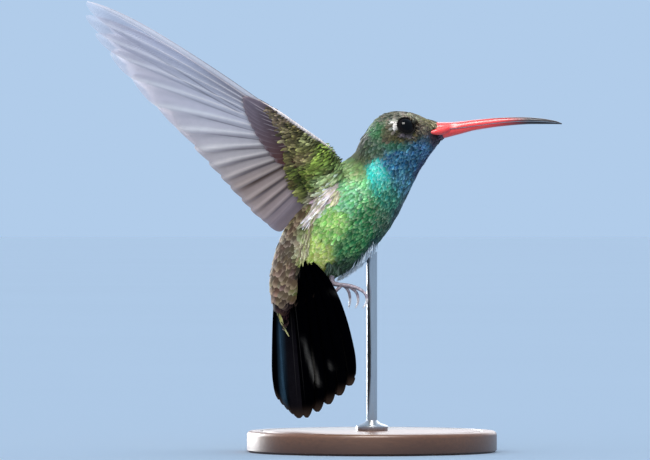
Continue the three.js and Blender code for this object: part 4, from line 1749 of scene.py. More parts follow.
def add_vane(
    draft: MeshDraft, feather: LongFeather, place: Callable[[Array], Array],
    paint: Callable[[Array, Array, Array], FeatherLook], cell: tuple[float, float, float, float],
    rng: np.random.Generator,
) -> None:
    """Adds one long feather as a thin closed vane with a raised shaft.

    Args:
        draft: The mesh that it joins.
        feather: Its shape.
        place: Puts rows of u, v, w in space.
        paint: Colours from fan places, places along and places across.
        cell: Its own rectangle of the bake map: left, bottom, width and height.
        rng: Draws the splits in its edges.
    """
    middle, values = feather.rows_of(rng)
    rows, columns = middle.shape[:2]
    flat = middle.reshape(-1, 3)
    high, low, along, across, shaft = values.reshape(-1, 5).T
    rise, fall = np.zeros_like(flat), np.zeros_like(flat)
    rise[:, 2], fall[:, 2] = high, low
    inner = np.ones((rows, columns), bool)
    inner[:, 0] = inner[:, -1] = False
    upper = np.arange(rows * columns).reshape(rows, columns)
    lower = upper.copy()
    lower[inner] = rows * columns + np.arange(inner.sum())
    faces = []
    for i in range(rows - 1):
        for j in range(columns - 1):
            faces.append((upper[i, j], upper[i + 1, j], upper[i + 1, j + 1], upper[i, j + 1]))
            faces.append((lower[i, j], lower[i, j + 1], lower[i + 1, j + 1], lower[i + 1, j]))
    for i, flip in ((0, 1), (rows - 1, -1)):
        ring = [*upper[i], *lower[i, -2:0:-1]]
        faces.append(tuple(ring[::flip]))
    look = paint(flat, along, across)
    vane = np.stack([across / 2 + 0.5, along], axis=1)
    opacity = np.ones(len(flat)) if look.opacity is None else look.opacity
    both = {
        "rim": look.rim, "gloss": np.zeros(len(flat)), "shaft": shaft,
        "opacity": np.maximum(opacity, shaft), VANE_MAP: vane, BAKE_MAP: vane * cell[2:] + cell[:2],
    }
    hidden = inner.ravel()
    points = np.concatenate([place(flat + rise), place(flat - fall)[hidden]])
    tint = np.concatenate([look.tint if look.upper is None else look.upper, look.tint[hidden]])
    values = {name: np.concatenate([each, each[hidden]]) for name, each in both.items()}
    draft.add(points, faces, tint=tint, **values)


def bake_cell(index: int, columns: int, rows: int, margin: float = 0.004) -> tuple[float, ...]:
    """The rectangle of the bake map that a long feather takes, by its number."""
    left, bottom = index % columns / columns, index // columns / rows
    return (left + margin, bottom + margin, 1 / columns - 2 * margin, 1 / rows - 2 * margin)


# ------------------------------------------------------------------ wings


@dataclass(frozen=True)
class Wing:
    """One wing: flight feathers, three tiers of coverts and the arm that they grow from.

    u runs along the span from the shoulder, v to the rear edge and w up from the upper face. Fan
    places number the feathers from the wing's tip.
    """

    side: Side
    shoulder: tuple[float, float, float] = (-4.6, 5.4, 46.0)
    raise_deg: float = 22
    sweep_deg: float = 41.5
    pitch_deg: float = 52
    length: float = 60
    tip_rise: float = 2.5
    inner_tuck: float = 1.6
    hand_length: float = 18
    primaries: int = 10
    secondaries: int = 6
    covert_row: int = 17
    bend: float = 0.04
    rear_slope: float = 0.215
    least_gap: float = 1.8
    tips_u: tuple[float, ...] = (
        61.6, 60.2, 56.2, 51, 45.2, 39.2, 33.4, 28, 23.2, 19, 15.4, 12.2, 9.2, 6.4, 3.8, 1.4,
    )
    fan: tuple[float, ...] = (
        0, 1.1, 2.0, 2.9, 4.0, 5.2, 6.3, 7.4, 8.4, 9.4, 10.35, 11.6, 12.7, 13.9, 14.8, 15.0,
    )
    covert_lengths: tuple[float, ...] = (
        8.0, 8.3, 8.4, 8.2, 7.8, 7.2, 6.4, 5.6, 4.7, 4.2, 3.6, 2.8, 2.8, 3.0, 3.2, 3.3,
    )
    covert_edge: tuple[tuple[float, ...], tuple[float, ...]] = (
        (-2.3, 2, 5, 6.6, 8.4, 10.2, 12.4, 15.2, 18, 21, 23.5),
        (8.6, 8.0, 7.2, 6.3, 5.0, 3.8, 2.2, 1.1, 0.1, -0.7, -1.1),
    )
    covert_angle: tuple[tuple[float, ...], tuple[float, ...]] = ((-2, 6, 14, 20), (62, 48, 30, 12))
    covert_span: tuple[float, float] = (-2.3, 20.5)
    covert_gap: float = 0.44
    covert_row_gap: float = 0.75
    covert_stray: float = 0.09
    covert_uneven: float = 0.42
    covert_lift: float = 0.07
    covert_size: tuple[float, float, float] = (1.6, 0.58, 1.2)
    tone_places: tuple[float, ...] = (0, 5, 8, 10.5, 13, 15.2)
    # the ray and base tones are painted brighter, as if the wing were lit through from behind; the shade
    # tones are painted shade beside each ray
    ray_tones: tuple[Colour, ...] = (
        (246, 240, 246), (255, 244, 240), (250, 230, 218), (206, 178, 162), (216, 186, 172), (172, 150, 150),
    )
    base_tones: tuple[Colour, ...] = (
        (214, 210, 223), (226, 213, 216), (204, 186, 180), (174, 148, 136), (180, 154, 144), (162, 142, 144),
    )
    dark_tones: tuple[Colour, ...] = (
        (199, 196, 210), (206, 196, 200), (156, 140, 136), (68, 48, 40), (76, 56, 52), (146, 128, 130),
    )
    first_behind: tuple[float, ...] = (0.65, 0.28, 0.1)
    first_blunt: tuple[float, ...] = (0.3, 0.24, 0.18)
    first_skew: tuple[float, ...] = (0.2, 0.5, 0.8)
    spots: tuple[tuple[float, float, float, Colour], ...] = (
        (-1.0, 0.8, 1.6, (150, 168, 106)), (2.9, 0.6, 1.1, (76, 90, 44)), (1.0, 2.2, 0.9, (200, 212, 140)),
        (0.3, 3.6, 1.1, (206, 218, 150)), (-1.4, 3.8, 1.4, (204, 216, 160)),
        (0.0, 6.0, 1.0, (226, 212, 180)), (2.0, 3.2, 0.9, (184, 204, 140)), (3.4, 2.2, 0.9, (112, 130, 60)),
        (5.0, 0.5, 1.5, (166, 186, 76)), (9.8, -0.5, 0.9, (204, 196, 128)), (9.8, 0.6, 0.8, (110, 102, 56)),
        (3.2, 5.1, 1.2, (64, 82, 28)), (2.4, 6.4, 1.5, (56, 78, 14)), (5.4, 4.0, 1.5, (82, 96, 26)),
        (6.6, 4.8, 0.8, (126, 134, 60)), (7.6, 2.0, 1.1, (172, 142, 104)), (6.0, 3.0, 0.8, (88, 100, 46)),
        (9.0, 0.8, 1.2, (88, 82, 34)), (10.2, 1.7, 0.9, (148, 128, 88)), (10.2, 3.4, 1.3, (112, 98, 56)),
        (13.5, -0.3, 1.4, (108, 90, 50)), (14.0, 0.8, 1.2, (146, 128, 98)),
        (18.0, -0.2, 2.6, (138, 112, 88)), (5.8, 6.8, 1.2, (100, 76, 46)), (3.0, 8.0, 1.3, (198, 186, 110)),
    )
    arm: tuple[tuple[float, float, float, float], ...] = (
        (-2.5, 4.2, 2.4, 0.5), (-0.8, 3.9, 3.4, 1.3), (2, 3.0, 3.9, 1.8), (8, 1.4, 2.6, 1.3),
        (14, 0.1, 1.5, 0.9), (19, -0.8, 0.8, 0.5),
    )
    arm_fill: tuple[float, float] = (0.9, 0.85)
    arm_tints: tuple[Colour, Colour] = ((52, 52, 28), (128, 144, 94))
    arm_mesh: tuple[int, int] = (22, 24)
    edge_span: tuple[float, float] = (3.0, 23.0)
    edge_radius: float = 0.4
    edge_tint: Colour = (214, 198, 190)
    edge_mesh: tuple[int, int] = (60, 12)

    def axes(self) -> tuple[Array, Array, Array]:
        """Finds the right wing's directions.

        Returns:
            Unit vectors along the span, to the rear edge and out of the upper face.
        """
        up, back, pitch = (math.radians(a) for a in (self.raise_deg, self.sweep_deg, self.pitch_deg))
        span = np.array([-math.cos(up) * math.sin(back), -math.cos(up) * math.cos(back), math.sin(up)])
        level = unit(np.array([span[1], -span[0], 0.0]))
        down = np.cross(span, level)
        chord = level * math.cos(pitch) + down * math.sin(pitch)
        return span, chord, np.cross(chord, span)

    def place(self, flat: Array) -> Array:
        """Puts fan places in space, on this wing's side.

        Args:
            flat: Rows of u, v and w.

        Returns:
            Rows of x, y and z, in millimetres.
        """
        span, chord, upper = self.axes()
        u, v, w = flat.T
        bend = self.tip_rise * (u / self.length) ** 2
        tuck = self.inner_tuck * np.maximum(0, 1 - u / 22) * np.maximum(0, v / 15) ** 1.5
        x, y, z = self.shoulder
        made = np.array([x, -y, z]) + np.outer(u, span) + np.outer(v, chord)
        made += np.outer(w + bend + tuck, upper)
        made[:, 1] *= -self.side.value
        return made

    def remex(self, i: float) -> tuple[tuple[float, float], float, float]:
        """Reads where the flight feather at a fan place lies.

        Args:
            i: The fan place.

        Returns:
            Its root, length and heading.
        """
        hand = min(i / (self.primaries - 1), 1)
        forearm = max(i - self.primaries + 1, 0) / self.secondaries
        root = (self.hand_length - 8 * hand - 7.5 * forearm, -0.75 + 2.8 * hand**1.2 + 1.8 * forearm)
        tip_u = float(spline(self.tips_u, [i / (len(self.tips_u) - 1)])[0])
        rear = 16.3 - self.rear_slope * tip_u - 1.9 * max(0.0, (tip_u - 52) / 10) ** 2
        du, dv = tip_u - root[0], rear - max(0.0, 1 - i) - root[1]
        return root, math.hypot(du, dv), math.atan2(dv, du)

    def gap_after(self, order: int) -> float:
        """Measures how far the next shaft's tip lies beside a shaft.

        Args:
            order: The shaft's number in the fan.

        Returns:
            The gap, in millimetres.
        """
        tips, heading = [], 0.0
        for i in self.fan[min(order, len(self.fan) - 3) :][:2]:
            (u, v), length, turn = self.remex(i)
            tips.append((u + length * math.cos(turn), v + length * math.sin(turn)))
            heading = heading or turn
        du, dv = tips[1][0] - tips[0][0], tips[1][1] - tips[0][1]
        return max(self.least_gap, dv * math.cos(heading) - du * math.sin(heading))

    def rays(self, flat: Array) -> tuple[Array, Array, Array]:
        """Finds where places lie between the shafts.

        Args:
            flat: Rows of u, v and w.

        Returns:
            Place in the fan of the shaft before them, share of the way from it to the next shaft
            towards the body, and place along the feather.
        """
        before, after = np.full(len(flat), 9.0), np.full(len(flat), 9.0)
        order, along = np.zeros(len(flat)), np.zeros(len(flat))
        for i in self.fan:
            (u, v), length, heading = self.remex(i)
            du, dv = flat[:, 0] - u, flat[:, 1] - v
            t = (du * math.cos(heading) + dv * math.sin(heading)) / length
            bend = self.bend * (i < self.primaries)
            off = dv * math.cos(heading) - du * math.sin(heading) - length * bend * (t**4 - t)
            nearer = (off >= 0) & (off < before)
            before, order, along = (
                np.where(nearer, new, old) for new, old in ((off, before), (i, order), (t, along))
            )
            after = np.where(off < 0, np.minimum(after, -off), after)
        return order, before / np.minimum(before + after, 4.0), along

    def paint_flight(self, index: int) -> Callable[[Array, Array, Array], FeatherLook]:
        """Chooses the colours of a flight feather: lavender painted as if lit from behind, each shaft a pale
        ray.

        Args:
            index: Its number from the wing's tip.

        Returns:
            A paint function for add_vane.
        """
        edge, dusk, trim, above = palette([(250, 240, 240), (110, 90, 88), (196, 190, 202), (92, 84, 88)])

        def paint(flat: Array, along: Array, across: Array) -> FeatherLook:
            """Colours for the points of one vane."""
            u = flat[:, 0]
            order, share, t = self.rays(flat)
            place = order + 1.1 * share
            ray, base, dark = (
                np.stack([np.interp(place, self.tone_places, palette(row)[:, k]) for k in range(3)], axis=1)
                for row in (self.ray_tones, self.base_tones, self.dark_tones)
            )
            # painted shade: a dark streak just behind each pale ray, strongest towards the body
            streak = hill(share - 0.3, 0.16) * (1 - 0.65 * smoothstep(0.65, 0.97, t))
            colour = mix(mix(base, ray, 0.5 * smoothstep(0.8, 1.0, t)), dark, streak)
            colour = mix(colour, ray, np.minimum(1, hill(share, 0.09) + hill(1 - share, 0.16)))
            tip = smoothstep(0.85, 1.0, along) * (1 - smoothstep(6, 10, place))
            opacity = 0.97 - 0.48 * smoothstep(20, 56, u) - 0.25 * tip
            if index < len(self.first_behind):
                behind = hill(across - 0.2, 0.5) * (1 - smoothstep(24, 42, u))
                colour = mix(colour, dusk, self.first_behind[index] * behind)
            if index == 0:
                front = smoothstep(0.1, 0.5, -across)
                colour, opacity = mix(colour, edge, front), np.maximum(opacity, 0.8 * front)
            rim = mix(colour, edge if index == 0 else trim, 0.1 + 0.15 * smoothstep(0.9, 1.0, along))
            return FeatherLook(colour, rim, opacity, mix(colour, above, 0.7))

        return paint

    @staticmethod
    def paint_coverts(flat: Array, along: Array, across: Array) -> FeatherLook:
        """Paints the greater coverts, a dusky maroon band with painted shade at the edges and roots.

        Args:
            flat, along, across: As add_vane gives them.

        Returns:
            Their colours.
        """
        grey, maroon, shadow, pale = palette([(130, 114, 120), (94, 52, 40), (64, 46, 50), (164, 142, 142)])
        colour = mix(grey, maroon, 1 - smoothstep(8, 26, flat[:, 0]))
        # painted shade along the edges of each vane and towards its root, where the feathers overlap
        fold_shade = 0.3 * hill(np.abs(across) - 0.55, 0.3) + 0.2 * (1 - smoothstep(0.3, 0.7, along))
        colour = mix(colour, shadow, fold_shade)
        return FeatherLook(colour, mix(colour, pale, 0.35))

    def flight_feather(self, order: int) -> LongFeather:
        """Shapes a flight feather, cut square to the wing's rear edge.

        Args:
            order: Its number in the fan.

        Returns:
            The feather.
        """
        i = self.fan[order]
        root, length, heading = self.remex(i)
        bend = self.bend * (i < self.primaries)
        cut = min(max(-1 / math.tan(heading + bend * 3 + math.atan(self.rear_slope)), -1.1), 0.3)
        first = order < len(self.first_blunt)
        return LongFeather(
            root=root, length=length - 0.5 * smoothstep(12.5, 15, i),
            angle=lambda t: heading + bend * (4 * t**3 - 1), lead=0.9 if order == 0 else 1.1,
            trail=self.gap_after(order) * 1.22 + 0.2, slope=0.04, thickness=0.08, notches=0,
            opening=0.75 if order < 2 else 0.42, full_at=0.4 if order < 2 else 1.2,
            shares=LongFeather.fine_shares, bluntness=self.first_blunt[order] if first else 0.1,
            keel_rise=0.1 - 0.05 * smoothstep(5, 10, i), shaft=0.09,
            shaft_tone=0.55 - 0.5 * smoothstep(4, 9, i),
            skew=cut * (self.first_skew[order] if first else 1),
        )

    def greater_covert(self, i: float, face: int) -> LongFeather:
        """Shapes the greater covert over the root of a flight feather.

        Args:
            i: The flight feather's fan place.
            face: 1 on the upper face, -1 on the lower.

        Returns:
            The feather.
        """
        (u, v), _, heading = self.remex(i)
        hand = min(1, i / self.primaries)
        reach = float(np.interp(i, np.arange(len(self.covert_lengths)), self.covert_lengths))
        return LongFeather(
            root=(u - 0.8 * math.cos(heading), v - 0.8 * math.sin(heading)), length=reach + 0.8,
            angle=lambda t: heading, lead=0.9 + 0.6 * hand, trail=1.2 + 0.4 * hand, slope=0.1,
            bluntness=0.55, lift=lambda t: face * (0.33 + 0.12 * math.sin(math.pi * t)), rows=16,
            thickness=0.16, shaft=0.07, shaft_rise=0.04, shaft_tone=0.3,
        )

    def build(
        self, feather: bpy.types.Object, long_finish: bpy.types.Material, small: bpy.types.Material
    ) -> list[bpy.types.Object]:
        """The wing's pieces.

        Args:
            feather: The small feather for the lesser coverts.
            long_finish: The finish of long feathers.
            small: The finish of small feathers.

        Returns:
            Flight feathers, arm and small coverts.
        """
        rng = np.random.default_rng(SEED + 5)
        vanes = [(self.flight_feather(k), self.paint_flight(k)) for k in range(len(self.fan))]
        places = np.arange(self.covert_row) * (len(self.tips_u) - 1) / (self.covert_row - 1)
        vanes += [(self.greater_covert(i, face), self.paint_coverts) for face in (1, -1) for i in places]
        draft = MeshDraft()
        for number, (shape, paint) in enumerate(vanes):
            add_vane(draft, shape, self.place, paint, bake_cell(number, 10, 6), rng)
        flight = draft.build(f"wing_feathers_{self.side.word}", long_finish)
        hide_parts(f"wing_{self.side.word}")
        name = f"wing_coverts_{self.side.word}"
        coat = CoatTree().grow(name, self.covert_roots(), feather, small, (0.22, 0.05, 0.15))
        return [flight, self.arm_piece(small), coat]

    def arm_rows(self, u: Array) -> tuple[Array, Array, Array]:
        """Middle, half chord and half thickness of the arm at places along the span."""
        table = np.array(self.arm)
        return tuple(np.interp(u, table[:, 0], table[:, k]) for k in (1, 2, 3))

    def arm_height(self, u: Array, v: Array) -> Array:
        """Finds how far the coverts' roots stand off the wing's middle.

        Args:
            u, v: Places over the arm and behind it.

        Returns:
            The heights.
        """
        middle, chord, thick = self.arm_rows(u)
        share = np.clip(np.abs(v - middle) / chord, 0, 1)
        return np.maximum(thick * np.sqrt(1 - share**2) * 0.92, 0.56)

    def covert_tint(self, u: Array, v: Array, face: Array, rng: np.random.Generator) -> dict[str, Array]:
        """Colours small coverts: green near the shoulder, olive to the wrist, painted lighter under the
        joint.

        Args:
            u, v: Their places.
            face: 1 on the upper face, -1 on the lower.
            rng: Draws how bright each is.

        Returns:
            Tint, rim and gloss, by name.
        """
        at_u, at_v, reach = (np.array([spot[k] for spot in self.spots]) for k in range(3))
        u_off, v_off = u[:, None] - at_u, v[:, None] - at_v
        weights = np.exp(-(u_off**2 + v_off**2) / reach**2) + 1e-9
        weights /= weights.sum(axis=1, keepdims=True)
        dark, pale = palette([(50, 40, 20), (196, 188, 100)])
        shade = rng.random(len(u))
        tint = mix(weights @ palette([colour for *_, colour in self.spots]), dark, 0.75 * (shade < 0.26))
        rim = mix(tint, pale, 0.15 + 0.3 * (shade > 0.78))
        # painted light: coverts on the lower face by the shoulder joint are brightened against the shade they
        # sit in
        joint_light = (face < 0) * smoothstep(2.8, 0.0, u) * smoothstep(5.5, 3.0, v)
        bright = (np.exp(rng.normal(0, self.covert_uneven, len(u))) * (1 + 0.9 * joint_light))[:, None]
        return {
            "tint": np.clip(tint * bright, 0, 1), "rim": np.clip(rim * bright, 0, 1),
            "gloss": np.where(shade < 0.2, 0.0, 0.15),
        }

    def covert_lattice(self, rng: np.random.Generator) -> tuple[Array, Array, Array]:
        """Spreads small coverts in staggered rows over both faces of the arm.

        Args:
            rng: Draws how far each strays.

        Returns:
            u, v and face, 1 or -1, of each.
        """
        rows, faces = [], []
        gap = self.covert_gap
        for face in (1, -1):
            for k, u in enumerate(np.arange(*self.covert_span, gap * self.covert_row_gap)):
                front = -1.15 - 0.03 * max(0.0, u) + 0.9 * (1 - float(smoothstep(-1.0, 5.0, u)))
                front += 0.2 * float(smoothstep(6, 9, u)) + 1.4 * float(smoothstep(0.5, -2.0, u))
                back = float(np.interp(u, *self.covert_edge))
                for v in np.arange(front + 0.5 * gap * (k % 2), back - 0.3, gap):
                    rows.append((u, v))
                    faces.append(face)
        flat = np.array(rows) + rng.normal(0, self.covert_stray, (len(rows), 2))
        kept = flat[:, 0] > rng.normal(-1.3, 0.6, len(flat)) + smoothstep(3.0, 0.5, flat[:, 1])
        return *flat[kept].T, np.array(faces, float)[kept]

    def covert_roots(self) -> Roots:
        """Sets the lesser and median coverts on both faces of the arm.

        Returns:
            Their roots.
        """
        rng = np.random.default_rng(SEED + 9)
        u, v, face = self.covert_lattice(rng)
        fan = np.stack([u, v, self.arm_height(u, v) * face], axis=1)
        angle = np.radians(np.interp(u, *self.covert_angle))
        step = 0.4
        du, dv = step * np.cos(angle), step * np.sin(angle)
        ahead = np.stack([u + du, v + dv, self.arm_height(u + du, v + dv) * face], axis=1)
        out = fan + np.outer(face, (0.0, 0.0, step))
        here = self.place(fan)
        return Roots(
            place=here, outward=unit(self.place(out) - here), lie=unit(self.place(ahead) - here),
            size=np.tile(self.covert_size, (len(u), 1)) * (0.55 + 0.45 * smoothstep(0, 3, v + 1.2))[:, None],
            lift=np.full(len(u), self.covert_lift),
            unwrap=np.stack([(u + 3) / 50 + 0.5 * (face > 0), (v + 2) / 14], axis=1),
            **self.covert_tint(u, v, face, rng),
        )

    @staticmethod
    def plain(tint: Array, vane: Array, bake: Array) -> dict[str, Array]:
        """Values of a part whose tint and rim are one."""
        return {"tint": tint, "rim": tint, "gloss": np.zeros(len(tint)), VANE_MAP: vane, BAKE_MAP: bake}

    def arm_piece(self, material: bpy.types.Material) -> bpy.types.Object:
        """Makes the feathered arm under the small coverts, closed at both ends.

        Args:
            material: Its finish.

        Returns:
            The arm.
        """
        steps, sides = self.arm_mesh
        u = np.linspace(self.arm[0][0], self.arm[-1][0], steps)
        middle, chord, thick = (row[:, None] for row in self.arm_rows(u))
        turns = turns_round(sides)
        wide, high = self.arm_fill
        v, w = middle + wide * chord * np.cos(turns), high * thick * np.sin(turns)
        along = np.repeat(u, sides)
        root, base = palette(self.arm_tints)
        tint = mix(root, base, smoothstep(2.0, -0.5, along))
        vane = np.tile([0.5, 0.9], (len(along), 1))
        bake = np.stack([np.tile(turns / 6.3, steps), along / 25 + 0.15], axis=1)
        draft = MeshDraft()
        points = self.place(np.stack([along, v.ravel(), w.ravel()], axis=1))
        draft.add(points, tube_faces(steps, sides), **self.plain(tint, vane, bake))
        self.front_edge(draft)
        made = draft.build(f"wing_arm_{self.side.word}", material)
        return made

    def front_edge(self, draft: MeshDraft) -> None:
        """Adds the smooth pale rim of marginal feathers along the arm's front.

        Args:
            draft: The mesh that it joins.
        """
        steps, sides = self.edge_mesh
        u = np.linspace(*self.edge_span, steps)
        front = -0.8 - 0.032 * np.minimum(u, 19) - 0.02 * np.maximum(u - 19, 0)
        line = self.place(np.stack([u, front, np.zeros(steps)], axis=1))
        radius = self.edge_radius * np.clip((23.5 - u) / 6, 0.2, 1) * smoothstep(1.0, 8.0, u)
        across = np.tile(np.linspace(0, 1, sides), steps)
        tint = np.tile(srgb(*self.edge_tint), (len(across), 1))
        vane = np.stack([across, np.repeat(0.3 + (u * 0.9) % 0.6, sides)], axis=1)
        bake = np.stack([0.02 * across, np.repeat((u + 2) / 30, sides)], axis=1)
        draft.add(sweep(line, radius, sides), tube_faces(steps, sides), **self.plain(tint, vane, bake))


# ------------------------------------------------------------------ tail


@dataclass(frozen=True)
class Tail:
    """Ten tail feathers in a turned, half-open fan.

    p runs down the tail, q to the bird's right and w up from its upper face.
    """

    base: tuple[float, float, float] = (-13.5, 0.0, 32.4)
    lean_deg: float = 5
    twist_deg: float = 33
    cup: float = 2.2
    half_width_at_base: float = 2.0
    pairs: int = 5
    inner_length: float = 27.1
    outer_length: float = 24.9
    drop: float = 1.3
    base_angle: tuple[float, float] = (14.0, 6.0)
    tip_angle: tuple[float, float] = (1.2, 2.2)
    covered: int = 3
    # painted highlights: sheen and sheens give pale streaks of reflected light on the right half's upper
    # faces
    sheen: Colour = (118, 114, 108)
    sheens: tuple[tuple[float, ...], ...] = (
        (14.6, 2.5, 21.6, 4.7, 0.42, 0.3), (18.6, 7.2, 19.4, 7.45, 0.35, 0.12),
        (7.3, 8.0, 8.2, 10.6, 0.35, 0.07),
    )
    # painted sheen: a blue reflection along the left half's feathers
    blue_line: tuple[tuple[float, ...], tuple[float, ...]] = ((11, 25), (-3.9, -5.4))
    blue_width: float = 1.1

    def place(self, flat: Array) -> Array:
        """Puts fan places in space.

        Args:
            flat: Rows of p, q and w.

        Returns:
            Rows of x, y and z, in millimetres.
        """
        lean, twist = math.radians(self.lean_deg), math.radians(self.twist_deg)
        down = np.array([math.sin(lean), 0, -math.cos(lean)])
        right = np.array([math.sin(twist), -math.cos(twist), 0])
        right = unit(right - (right @ down) * down)
        p, q, w = flat.T
        cup = self.cup * np.minimum(1.6, (np.maximum(q, 0) / 10) ** 2)
        made = np.array(self.base) + np.outer(p, down) + np.outer(q, right)
        return made + np.outer(w - cup, np.cross(down, right))

    def paint(self, side: int, i: int) -> Callable[[Array, Array, Array], FeatherLook]:
        """Chooses the colours of one feather: blue-black, the middle pair browner with pale edges, painted
        sheens.

        Args:
            side: 1 on the bird's right, -1 on its left.
            i: Its number from the middle.

        Returns:
            A paint function for add_vane.
        """
        black, blue, brown, buff = palette([(1, 1, 2), (44, 64, 78), (17, 15, 18), (70, 56, 48)])
        sheen = srgb(*self.sheen)

        def paint(flat: Array, along: Array, across: Array) -> FeatherLook:
            """Colours for the points of one vane."""
            p, q, _ = flat.T
            under = np.tile(black, (len(along), 1))
            colour = under
            # painted sheen: the blue stripe is reflected light on the left half
            if side < 0:
                gap = q - np.interp(p, *self.blue_line)
                colour = mix(colour, blue, 0.9 * hill(gap, self.blue_width) * smoothstep(9, 14, p))
            if side < 0 and i < 2:
                colour = mix(colour, brown, 0.8 * smoothstep(0.2, 0.7, along) * smoothstep(-3.8, -2.4, q))
            rim = mix(colour * 0.5, buff, 0.45 * smoothstep(0.9, 0.99, along))
            # painted highlights: streaks of reflected light on the right half's feathers
            for *line, width, tone in self.sheens if side > 0 else ():
                share, gap = near_line(p, q, line)
                light = tone * hill(gap, width) * (0.4 + 0.6 * smoothstep(0, 0.5, share))
                colour, rim = mix(colour, sheen, light), mix(rim, sheen, light)
            return FeatherLook(under, rim, None, colour)

        return paint

    def rectrix(self, side: int, i: int) -> LongFeather:
        """Shapes a tail feather.

        Args:
            side: 1 on the bird's right, -1 on its left.
            i: Its number from the middle.

        Returns:
            The feather.
        """
        rank, share = i + 0.5, i / (self.pairs - 1)
        half = 0 if side > 0 else 1
        base, tip = (math.radians(angle[half] * rank) for angle in (self.base_angle, self.tip_angle))
        outer, inner = 3.1 - 1.2 * share, 3.2 + 0.2 * share
        drop = self.drop * share if side > 0 else 0.0
        return LongFeather(
            root=(drop, side * rank * self.half_width_at_base / self.pairs),
            length=self.inner_length + (self.outer_length - self.inner_length) * share - drop,
            angle=lambda t: side * (tip + (base - tip) * (1 - t) ** 2.4), lead=inner if side > 0 else outer,
            trail=outer if side > 0 else inner, slope=-side * 0.1, bluntness=0.24, lift=lambda t: -0.25 * i,
            narrowest=0.12, shaft_rise=0.03, keel_rise=0.03, shaft_tone=0.06,
        )

    def covert(self, side: int, i: int) -> LongFeather:
        """Shapes the short feather over the root of a tail feather.

        Args:
            side: As for the tail feather.
            i: The tail feather's number.

        Returns:
            The feather.
        """
        base = math.radians(self.base_angle[0] * (i + 0.5))
        return LongFeather(
            root=(1.2, self.rectrix(side, i).root[1]), length=8.0,
            angle=lambda t: side * base * (1 - 0.5 * t), lead=2.5, trail=2.5, slope=-side * 0.12,
            bluntness=0.6, lift=lambda t: 0.28 - 0.24 * i - 0.2 * t, rows=18, opening=0.75, shaft_tone=0.0,
            shaft_rise=0.02, keel_rise=0.02, notches=0,
        )

    def build(self, material: bpy.types.Material) -> list[bpy.types.Object]:
        """Makes the fan.

        Args:
            material: Its finish.

        Returns:
            The one piece.
        """
        rng = np.random.default_rng(SEED + 7)
        draft = MeshDraft()
        for number in range(2 * self.pairs):
            side, i = (-1, 1)[number // self.pairs], number % self.pairs
            cell = bake_cell(number, 10, 2)
            add_vane(draft, self.rectrix(side, i), self.place, self.paint(side, i), cell, rng)
            if side > 0 and i < self.covered:
                cell = bake_cell(number + 10, 10, 2)
                add_vane(draft, self.covert(side, i), self.place, self.paint(1, 4), cell, rng)
        made = draft.build("tail_feathers", material)
        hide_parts("tail")
        return [made]


# ------------------------------------------------------------------ bill


@dataclass(frozen=True)
class Bill:
    """Upper and lower half of the bill, closed along the mouth line, with slit nostrils.

    Each station holds x, z of the mouth line, the depth above and below it and the half width.
    """

    stations: tuple[tuple[float, float, float, float, float], ...] = (
        (8.4, 51.3, 1.45, 1.6, 1.65), (11.0, 51.55, 1.15, 1.45, 1.55), (13.3, 51.75, 0.98, 1.08, 1.2),
        (16.2, 52.1, 0.97, 0.66, 0.98), (20.0, 52.6, 0.83, 0.56, 0.86), (24.3, 52.9, 0.64, 0.48, 0.74),
        (27.4, 52.85, 0.46, 0.38, 0.56), (29.4, 52.68, 0.28, 0.22, 0.34), (30.4, 52.5, 0.1, 0.08, 0.1),
    )
    steps: int = 90
    sides: int = 13
    mouth_gap: float = 0.035
    nostril: tuple[float, float, float] = (12.9, 1.0, 0.42)
    gape: tuple[tuple[float, float, float, float], ...] = (
        (9.0, 2.4, 51.0, 0.05), (9.5, 2.25, 51.05, 0.26), (10.2, 1.95, 51.15, 0.48), (11.0, 1.5, 51.3, 0.6),
        (12.2, 1.0, 51.7, 0.55),
    )
    gape_mesh: tuple[int, int] = (24, 14)

    def half(self, upper: bool) -> tuple[Array, Array, Array]:
        """Shapes one half of the bill.

        Args:
            upper: Which half.

        Returns:
            Points, and the share of ridge and of mouth-line shade for each.
        """
        table = np.array(self.stations)
        at = np.linspace(table[0, 0] + 0.4, table[-1, 0], self.steps)
        rows = spline(table[:, 1:], np.interp(at, table[:, 0], np.linspace(0, 1, len(table))))
        turns = np.linspace(0, HALF_TURN, self.sides)
        over = np.sin(turns)
        sign, round_off, overhang = (1, 0.85, 1.03) if upper else (-1, 1.0, 0.95)
        groove = hill(over - self.nostril[2], 0.16) * upper
        points = []
        for place, (z, above, below, wide) in zip(at, rows):
            y = wide * np.cos(turns) * (1 - 0.2 * hill(place - self.nostril[0], self.nostril[1]) * groove)
            rise = (above if upper else below) * over**round_off
            gap = self.mouth_gap * min(1.0, wide * 2)
            height = z + sign * (rise + gap)
            points.append(np.stack([np.full(self.sides, place), y * overhang, height], axis=1))
            points.append([[place, side * 0.5 * wide, z + sign * gap * 0.6] for side in (-1, 1)])
        ridge = np.concatenate([smoothstep(0.55, 0.98, over) * upper, [0, 0]])
        # painted shade along the mouth line, where the halves meet
        seam = np.concatenate([1 - smoothstep(0.0, 0.3, over), [1, 1]])
        return np.concatenate(points), np.tile(ridge, self.steps), np.tile(seam, self.steps)

    def build(self) -> list[bpy.types.Object]:
        """Makes both halves as one piece.

        Returns:
            The piece.
        """
        draft = MeshDraft()
        for upper in (True, False):
            points, ridge, seam = self.half(upper)
            draft.add(points, tube_faces(self.steps, self.sides + 2), ridge=ridge, seam=seam)
        steps, sides = self.gape_mesh
        for side in Side:
            line = spline(self.gape, np.linspace(0, 1, steps))
            points = sweep(line[:, :3] * [1, side.value, 1], line[:, 3], sides)
            # painted shade on the gape tubes: darker above and below, lighter on the outward sides
            seam = np.tile(0.2 + 0.2 * np.cos(2 * turns_round(sides)), steps)
            draft.add(points, tube_faces(steps, sides), ridge=np.zeros(len(points)), seam=seam)
        made = draft.build("bill_halves", BillFinish().build())
        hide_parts("bill")
        return [made]


# ------------------------------------------------------------------ legs


